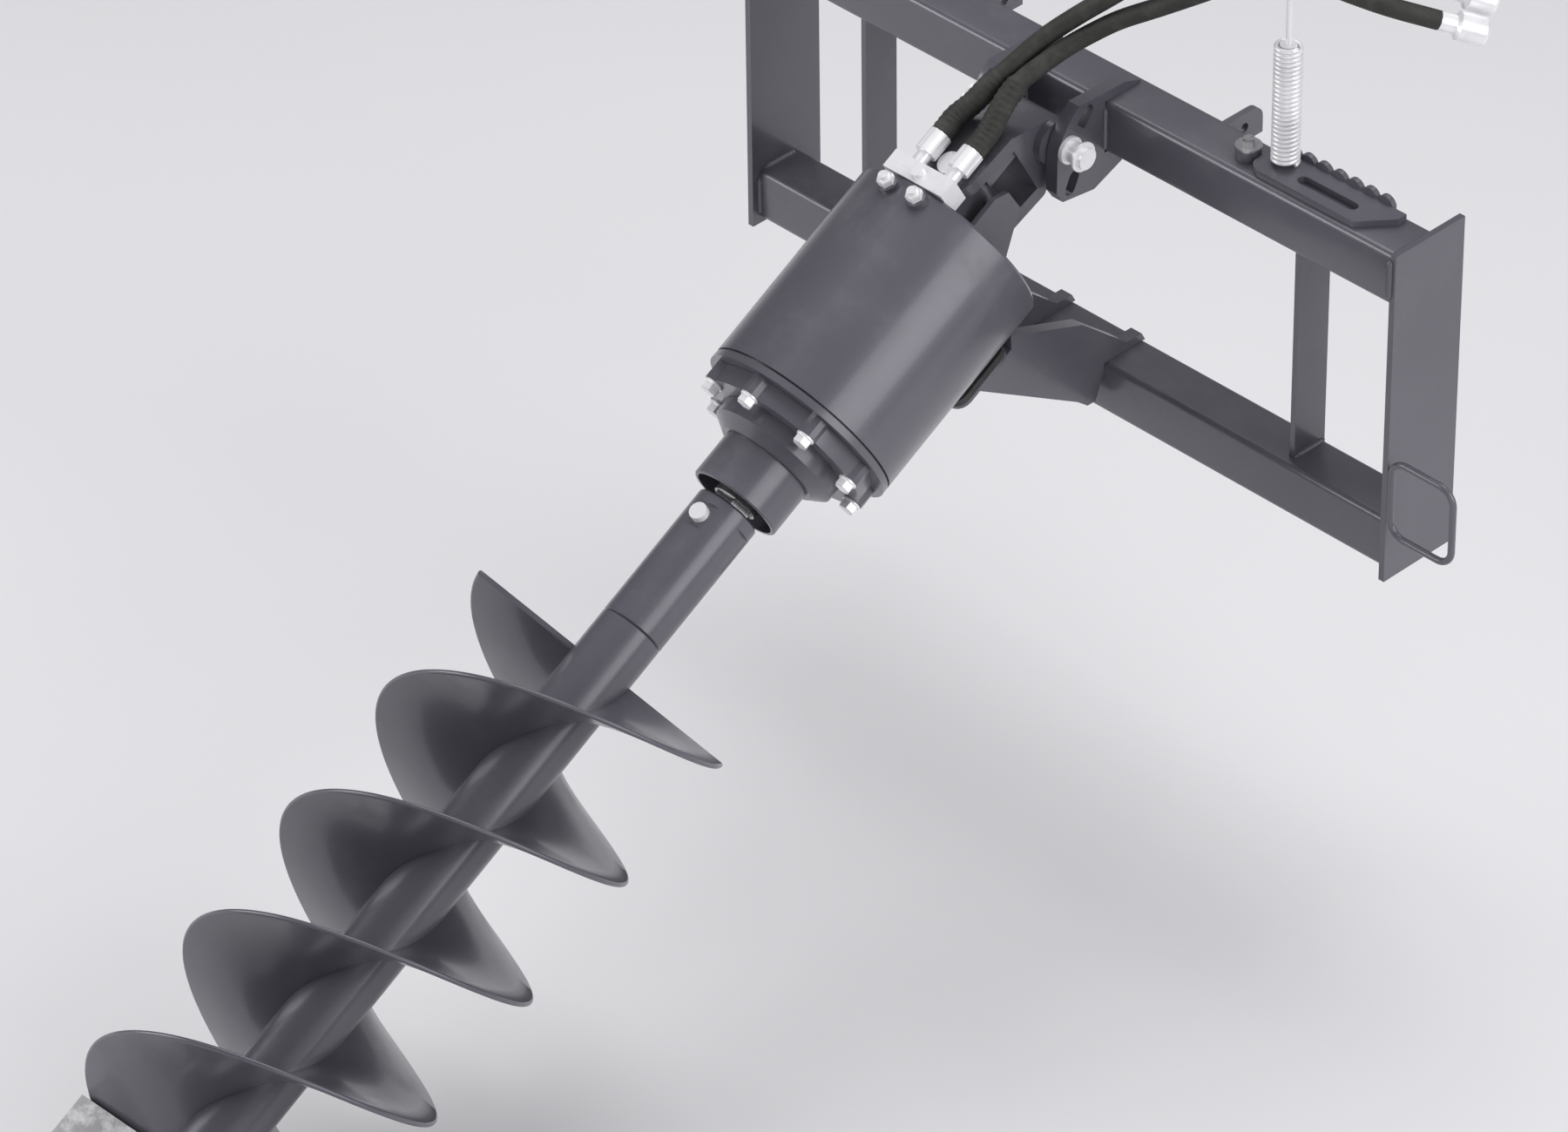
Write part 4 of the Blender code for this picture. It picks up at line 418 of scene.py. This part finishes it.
def even_route(points, count):
    """Evenly spaced points on the smooth curve through the given ones, as the solids' hoses run."""
    way = np.asarray(points, float)
    way = np.vstack([2 * way[0] - way[1], way, 2 * way[-1] - way[-2]])
    t = np.linspace(0.0, 1.0, 24, endpoint=False)[None, :, None]
    before, start, end, after = (way[i:len(way) - 3 + i][:, None] for i in range(4))
    fine = 0.5 * (
        2 * start + (end - before) * t + (2 * before - 5 * start + 4 * end - after) * t**2
        + (3 * start - before - 3 * end + after) * t**3
    )
    fine = np.vstack([fine.reshape(-1, 3), way[-2]])
    steps = np.concatenate([[0.0], np.cumsum(np.linalg.norm(np.diff(fine, axis=0), axis=1))])
    wanted = np.linspace(0.0, steps[-1], count)
    return np.stack([np.interp(wanted, steps, fine[:, i]) for i in range(3)], 1), steps[-1]


def rings_along(path, radius, sides, closed=False):
    """Rings round a path: each stands square to it and is carried on from the last without twist.
    radius is one number or an array of (points, sides)."""
    path = np.asarray(path, float)
    ahead = np.roll(path, -1, 0) if closed else np.vstack([path[1:], 2 * path[-1] - path[-2]])
    behind = np.roll(path, 1, 0) if closed else np.vstack([2 * path[0] - path[1], path[:-1]])
    along = ahead - behind
    along /= np.linalg.norm(along, axis=1)[:, None]
    side = np.empty_like(path)
    start = np.cross(along[0], (0.0, 0.0, 1.0) if abs(along[0][2]) < 0.9 else (1.0, 0.0, 0.0))
    for i, direction in enumerate(along):
        start = start - direction * start.dot(direction)
        start = start / np.linalg.norm(start)
        side[i] = start
    other = np.cross(along, side)
    turn = 2 * np.pi * np.arange(sides) / sides
    radius = np.broadcast_to(np.asarray(radius, float), (len(path), sides))[..., None]
    turn = turn[None, :, None]
    return path[:, None] + radius * (np.cos(turn) * side[:, None] + np.sin(turn) * other[:, None])


def flight_rows(start):
    """A helicoid strip. The angle falls by one turn for each lead of depth; across it runs a thin
    profile with a rounded outer edge, a half circle as thick as the plate."""
    depth = np.linspace(0.0, FLIGHT_DROP, FLIGHT_STEPS)
    angle = np.radians(start) - 2 * np.pi * depth / FLIGHT_LEAD
    edge = np.linspace(np.pi / 2, -np.pi / 2, EDGE_STEPS)
    rim = FLIGHT_OUTER - FLIGHT_HALF
    spans = np.linspace(FLIGHT_INNER, rim, SPAN_STEPS)
    reach = np.concatenate([spans, rim + FLIGHT_HALF * np.cos(edge), spans[::-1]])
    flat = np.full(SPAN_STEPS, FLIGHT_HALF)
    height = np.concatenate([flat, FLIGHT_HALF * np.sin(edge), -flat])
    z = -(FLIGHT_TOP + depth)[:, None] + height[None]
    x = np.cos(angle)[:, None] * reach[None]
    y = np.sin(angle)[:, None] * reach[None]
    return from_drive(np.stack([x, y, z], -1))


def weld_rows(points, radius, sides=8):
    """A weld bead: a tube whose radius swells at each ripple by a half sine along its length."""
    points = np.asarray(points, float)
    lengths = np.concatenate([[0.0], np.cumsum(np.linalg.norm(np.diff(points, axis=0), axis=1))])
    count = max(8, int(lengths[-1] / WELD_STEP))
    along = np.linspace(0.0, lengths[-1], count)
    path = np.stack([np.interp(along, lengths, points[:, i]) for i in range(3)], 1)
    swell = 1.0 + WELD_SWELL * np.abs(np.sin(np.pi * along / WELD_RIPPLE))
    fade = np.clip(np.minimum(along, lengths[-1] - along) / radius, 0.25, 1.0)
    return rings_along(path, (radius * swell * fade)[:, None], sides)


def hose_rows(side, route):
    """A hose from its fitting along its route. Close to the drive its radius grows to the sleeve's
    and ripples with the wrapped wire; further on a fine spiral stands out of the cover."""
    depths = np.array([FITTING_TOP, FITTING_TOP + HOSE_LEAD])
    lead = np.stack([np.full(2, side * FITTING_OFFSET), np.full(2, -FITTING_FRONT), depths], -1)
    way = np.vstack([from_drive(lead), from_frame(route)])
    path, length = even_route(way, HOSE_STEPS)
    along = np.linspace(0.0, length, HOSE_STEPS)[:, None]
    around = 2 * np.pi * np.arange(HOSE_SIDES)[None] / HOSE_SIDES
    past_sleeve = np.clip((along - SLEEVE_LENGTH) / SLEEVE_FADE, -40, 40)
    sleeve = 1.0 / (1.0 + np.exp(past_sleeve))
    wrap = WRAP_HEIGHT * np.sin(2 * np.pi * along / WRAP_PITCH - around)
    cover = COVER_HEIGHT * np.sin(2 * np.pi * along / COVER_PITCH + around)
    radius = HOSE_RADIUS + sleeve * (SLEEVE_RADIUS - HOSE_RADIUS + wrap) + (1 - sleeve) * cover
    return rings_along(path, radius, HOSE_SIDES), path, length


class AugerSettings(bpy.types.PropertyGroup):
    """Sizes and colours that a user would change."""

    paint: bpy.props.FloatVectorProperty(
        name="Paint", description="Base colour of the grey paint", subtype="COLOR", size=3,
        default=(0.096, 0.092, 0.112), min=0.0, max=1.0,
    )
    floor: bpy.props.FloatVectorProperty(
        name="Floor", description="Colour of the studio floor", subtype="COLOR", size=3,
        default=(0.80, 0.80, 0.81), min=0.0, max=1.0,
    )
    weld: bpy.props.FloatProperty(
        name="Weld size", description="Radius of a weld bead", default=0.0042, min=0.001,
        max=0.01, unit="LENGTH",
    )
    key: bpy.props.FloatProperty(
        name="Key light", description="Power of the large light on the right", default=520.0,
        min=0.0, subtype="POWER",
    )


class AUGER_OT_finishes(bpy.types.Operator):
    """Give every solid its finish"""

    bl_idname = "auger.finishes"
    bl_label = "Finishes"
    bl_options = {"REGISTER", "UNDO"}

    def execute(self, context):
        FINISHES.update(make_finishes())
        for part in frame["record"]["subparts"]:
            obj = frame["nodes"][part["node"]]
            obj.data.materials.clear()
            obj.data.materials.append(FINISHES[part["material_slot"]])
            self.shade(obj)
        return {"FINISHED"}

    def shade(self, obj):
        """Smooth shading that keeps edges sharper than the crease angle crisp."""
        mesh = obj.data
        if "custom_normal" in mesh.attributes:
            mesh.attributes.remove(mesh.attributes["custom_normal"])
        mesh.polygons.foreach_set("use_smooth", [True] * len(mesh.polygons))
        obj.modifiers.new("merge", "WELD").merge_threshold = MERGE_DISTANCE
        crease = obj.modifiers.new("crease", "EDGE_SPLIT")
        crease.use_edge_sharp = False
        crease.split_angle = math.radians(CREASE_ANGLE)


class AUGER_OT_flights(bpy.types.Operator):
    """Add the two smooth flights"""

    bl_idname = "auger.flights"
    bl_label = "Flights"
    bl_options = {"REGISTER", "UNDO"}

    def execute(self, context):
        for name, start in zip(("flight_a", "flight_b"), FLIGHT_STARTS):
            obj = put(f"smooth_{name}", flight_rows(start), "grey_paint")
            smooth_sharp(obj, SHARP_FLIGHT)
            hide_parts(name)
            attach(obj, "output")
        return {"FINISHED"}


class AUGER_OT_hoses(bpy.types.Operator):
    """Add the two hoses with their sleeves"""

    bl_idname = "auger.hoses"
    bl_label = "Hoses"
    bl_options = {"REGISTER", "UNDO"}

    def execute(self, context):
        for side, name, route in ((-1, "left", LEFT_HOSE), (1, "right", RIGHT_HOSE)):
            rows, path, length = hose_rows(side, route)
            obj = put(f"wrapped_hose_{name}", rows, "hose_rubber")
            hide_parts(f"hose_{name}")
            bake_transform(obj)
        return {"FINISHED"}


class AUGER_OT_stand(bpy.types.Operator):
    """Add the coil, the rod with its loop and the guide ring"""

    bl_idname = "auger.stand"
    bl_label = "Hose stand"
    bl_options = {"REGISTER", "UNDO"}

    def execute(self, context):
        self.coil()
        self.rod()
        self.ring()
        return {"FINISHED"}

    def coil(self):
        """A helix that climbs one pitch for each turn."""
        x, y = SPRING_PLACE
        turn = 2 * np.pi * np.linspace(0.0, SPRING_TURNS, SPRING_TURNS * COIL_STEPS)
        height = TREAD_TOP + SPRING_WIRE + SPRING_PITCH * turn / (2 * np.pi)
        path = np.stack([
            x + SPRING_MIDDLE * np.cos(turn), y + SPRING_MIDDLE * np.sin(turn), height,
        ], 1)
        coil = put("smooth_spring", rings_along(from_frame(path), SPRING_WIRE, 12), "zinc")
        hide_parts("hose_spring")
        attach(coil, "frame")

    def rod(self):
        """A straight stem that goes on into the arc of the loop."""
        low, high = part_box("hose_rod")
        reach = LOOP_RADIUS + ROD_RADIUS
        y, z = high[1] - reach, high[2] - reach
        sweep = np.radians(np.linspace(0.0, LOOP_SWEEP, LOOP_STEPS))
        loop = np.stack([y + LOOP_RADIUS * np.sin(sweep), z - LOOP_RADIUS * np.cos(sweep)], 1)
        heights = np.linspace(low[2], z - LOOP_RADIUS, STEM_STEPS)[:-1]
        stem = np.stack([np.full(len(heights), y), heights], 1)
        flat = np.vstack([stem, loop])
        path = np.column_stack([np.full(len(flat), SPRING_PLACE[0]), flat])
        rod = put("smooth_rod", rings_along(path, ROD_RADIUS, 20), "zinc")
        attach(rod, "hose_stand")

    def ring(self):
        """A closed path round a rectangle with a quarter circle at each corner."""
        low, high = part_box("guide_ring")
        half = (high[1] - low[1]) / 2
        corners = np.array([
            (low[0] + half, low[2] + half), (high[0] - half, low[2] + half),
            (high[0] - half, high[2] - half), (low[0] + half, high[2] - half),
        ])
        middle = corners.mean(0)
        arc_turn = np.radians(np.linspace(0.0, 90.0, CORNER_STEPS))
        points = []
        for number, corner in enumerate(corners):
            inward = corner + np.sign(middle - corner) * RING_CORNER
            angle = arc_turn + math.pi + number * math.pi / 2
            points.append(inward + RING_CORNER * np.stack([np.cos(angle), np.sin(angle)], 1))
        flat = np.vstack(points)
        path = np.stack([flat[:, 0], np.full(len(flat), low[1] + half), flat[:, 1]], 1)
        rows = rings_along(path, half, 24, closed=True)
        ring = put("smooth_ring", rows, "grey_paint", closed_along=True)
        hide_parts("guide_ring")
        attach(ring, "frame")


class AUGER_OT_welds(bpy.types.Operator):
    """Add the weld beads along the joints of the frame and drive"""

    bl_idname = "auger.welds"
    bl_label = "Welds"
    bl_options = {"REGISTER", "UNDO"}

    def execute(self, context):
        size = settings().weld
        for name, body, lines in weld_lines():
            for number, line in enumerate(lines):
                bead = put(f"weld_{name}_{number}", weld_rows(line, size), "grey_paint")
                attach(bead, body)
        return {"FINISHED"}


def weld_lines():
    """Where the beads lie: along each tube's meeting line with a plate, read from the solids."""
    groups = []
    for bar in ("upper_crossbar", "lower_crossbar"):
        low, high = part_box(bar)
        lines = []
        for x in (low[0], high[0]):
            lines.append([(x, low[1], low[2] + WELD_INSET), (x, low[1], high[2] - WELD_INSET)])
            if bar == "lower_crossbar":
                lines.append([(x, low[1] + WELD_INSET, high[2]), (x, high[1] - WELD_INSET, high[2])])
        groups.append((bar, "frame", lines))
    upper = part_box("lower_crossbar")[1][2]
    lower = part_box("upper_crossbar")[0][2]
    for name in ("inner_post_left", "inner_post_right"):
        low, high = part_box(name)
        lines = []
        for x in (low[0], high[0]):
            lines.append([(x, low[1], upper), (x, high[1], upper)])
            lines.append([(x, low[1], lower), (x, high[1], lower)])
        groups.append((name, "frame", lines))
    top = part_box("upper_crossbar")[1][2]
    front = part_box("upper_crossbar")[0][1]
    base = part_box("upper_crossbar")[0][2]
    for name in ("pivot_ear_left", "pivot_ear_right"):
        low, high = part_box(name)
        ends = base + EAR_WELD_INSET, top - WELD_INSET
        lines = [[(x, front, z) for z in ends] for x in (low[0], high[0])]
        groups.append((name, "frame", lines))
    level = WELD_LIFT - HOOD_TOP
    for name, side in (("drive_gusset_left", -1), ("drive_gusset_right", 1)):
        lines = []
        for x in GUSSET_FACES:
            line = [(side * x, y, level) for y in (-GUSSET_REACH, GUSSET_REACH)]
            lines.append(from_drive(line))
        groups.append((name, "drive", lines))
    near, far = LUG_REACH
    lug = [(-1, near), (1, near), (1, far), (-1, far), (-1, near)]
    lug = from_drive([(way * LUG_HALF_WIDTH, y, level) for way, y in lug])
    groups.append(("lug", "drive", [lug]))
    return groups


def chamfered_rows(centre, radius, low, high, chamfer, sides):
    """A short prism with a chamfered top: rings of corners, drawn in at the top, in a local frame
    whose third axis is the prism's."""
    turn = 2 * np.pi * np.arange(sides) / sides
    steps = ((radius, low), (radius, high - chamfer), (radius - chamfer, high))
    rings = [
        (centre[0] + reach * np.cos(turn), centre[1] + reach * np.sin(turn), np.full(sides, height))
        for reach, height in steps
    ]
    return np.moveaxis(np.array(rings), 1, 2)


class AUGER_OT_plated(bpy.types.Operator):
    """Add the plated shells of the flange bolts and port caps"""

    bl_idname = "auger.plated"
    bl_label = "Plated heads"
    bl_options = {"REGISTER", "UNDO"}

    def execute(self, context):
        hexagon = (BOLT_FLATS / 2 + SKIN) / math.cos(math.pi / 6)
        base, rim, top = FLANGE_HEIGHTS
        for number in range(FLANGE_BOLTS):
            turn = 2 * math.pi * number / FLANGE_BOLTS
            centre = (FLANGE_CIRCLE * math.cos(turn), FLANGE_CIRCLE * math.sin(turn))
            shapes = (
                ("washer", chamfered_rows(centre, WASHER_RADIUS + SKIN, base, rim, SKIN, 24)),
                ("head", chamfered_rows(centre, hexagon, base, top, 3 * SKIN, 6)),
            )
            for kind, rows in shapes:
                rows[..., 2] *= -1
                self.place(f"flange_{kind}_{number}", rows)
        base, rim, top = PORT_HEIGHTS
        for name, x in (("left", -PORT_PLACE[0]), ("right", PORT_PLACE[0])):
            centre = (x, PORT_PLACE[1])
            shapes = (
                ("cap", chamfered_rows(centre, hexagon, base, rim, 3 * SKIN, 6)),
                ("tip", chamfered_rows(centre, TIP_RADIUS + SKIN, base, top, 3 * SKIN, 24)),
            )
            for kind, rows in shapes:
                turned = np.stack([rows[..., 0], -rows[..., 2], rows[..., 1]], -1)
                self.place(f"port_{kind}_{name}", turned)
        return {"FINISHED"}

    def place(self, name, rows):
        obj = put(name, from_drive(rows), "zinc")
        smooth_sharp(obj, SHARP_HEAD)
        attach(obj, "drive")


class AUGER_OT_stage(bpy.types.Operator):
    """Add the floor, lights, world and camera"""

    bl_idname = "auger.stage"
    bl_label = "Stage"
    bl_options = {"REGISTER", "UNDO"}

    def execute(self, context):
        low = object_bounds()[0]
        mesh = bpy.data.meshes.new("floor")
        level = low[2] - FLOOR_DROP
        ways = ((-1, -1), (1, -1), (1, 1), (-1, 1))
        corners = [(x * FLOOR_REACH, y * FLOOR_REACH, level) for x, y in ways]
        mesh.from_pydata(corners, [], [(0, 1, 2, 3)])
        floor = bpy.data.objects.new("floor", mesh)
        context.scene.collection.objects.link(floor)
        colour = tuple(settings().floor)

        def build(place):
            return {"Roughness": 0.62 + 0.1 * place.noise(3.0)}

        mesh.materials.append(finish("floor", build, Base_Color=(*colour, 1.0)))
        floor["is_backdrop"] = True
        for name, place, size, power, aim in LIGHTS:
            data = bpy.data.lights.new(name, "AREA")
            data.shape = "RECTANGLE"
            data.size, data.size_y = size
            data.energy = power * settings().key
            light = bpy.data.objects.new(name, data)
            light.location = place
            light.rotation_euler = (Vector(aim) - Vector(place)).to_track_quat("-Z", "Y").to_euler()
            context.scene.collection.objects.link(light)
            light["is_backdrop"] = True
        self.make_world(context)
        self.make_camera(context)
        return {"FINISHED"}

    def make_world(self, context):
        """Soft light from all round, brighter towards the top and the right."""
        world = bpy.data.worlds.new("studio")
        world.use_nodes = True
        tree = world.node_tree
        start = tree.nodes.new("ShaderNodeTexCoord")
        place = Sig(tree, start.outputs["Generated"])
        split = place.node("ShaderNodeSeparateXYZ", {0: place})
        height = Sig(tree, split.socket.node.outputs[2])
        side = Sig(tree, split.socket.node.outputs[0])
        blend = (0.45 * height + 0.25 * side + 0.45).ramp(0.0, 1.0)
        colour = blend.between((0.17, 0.17, 0.18), (0.56, 0.56, 0.60))
        place.put(tree.nodes["Background"].inputs["Color"], colour)
        tree.nodes["Background"].inputs["Strength"].default_value = SKY_STRENGTH
        context.scene.world = world

    def make_camera(self, context):
        data = bpy.data.cameras.new("camera")
        data.lens = CAMERA_LENS
        data.sensor_width = 36.0
        data.shift_x, data.shift_y = CAMERA_SHIFT
        data.clip_end = 100.0
        camera = bpy.data.objects.new("camera", data)
        camera.location = CAMERA_PLACE
        camera.rotation_euler = (-Vector(CAMERA_BACK)).to_track_quat("-Z", "Y").to_euler()
        context.scene.collection.objects.link(camera)
        scene = context.scene
        scene.camera = camera
        scene.render.resolution_x = 1800
        scene.render.resolution_y = 1300
        scene.view_settings.view_transform = "Standard"
        scene.view_settings.look = "None"


class AUGER_PT_panel(bpy.types.Panel):
    """The settings and one button for each group"""

    bl_label = "Earth auger drive"
    bl_idname = "AUGER_PT_panel"
    bl_space_type = "VIEW_3D"
    bl_region_type = "UI"
    bl_category = "Auger"

    def draw(self, context):
        chosen = context.scene.auger_settings
        for name in ("paint", "floor", "weld", "key"):
            self.layout.prop(chosen, name)
        for operator in OPERATORS:
            self.layout.operator(operator.bl_idname)


OPERATORS = (
    AUGER_OT_finishes, AUGER_OT_flights, AUGER_OT_hoses, AUGER_OT_stand, AUGER_OT_welds,
    AUGER_OT_plated, AUGER_OT_stage,
)
CLASSES = (AugerSettings, *OPERATORS, AUGER_PT_panel)


def register():
    for item in CLASSES:
        bpy.utils.register_class(item)
    bpy.types.Scene.auger_settings = bpy.props.PointerProperty(type=AugerSettings)


def unregister():
    del bpy.types.Scene.auger_settings
    for item in reversed(CLASSES):
        bpy.utils.unregister_class(item)


def main():
    register()
    bpy.ops.auger.finishes()
    bpy.ops.auger.flights()
    bpy.ops.auger.hoses()
    bpy.ops.auger.stand()
    bpy.ops.auger.welds()
    bpy.ops.auger.plated()
    bpy.ops.auger.stage()


if __name__ == "__main__":
    main()
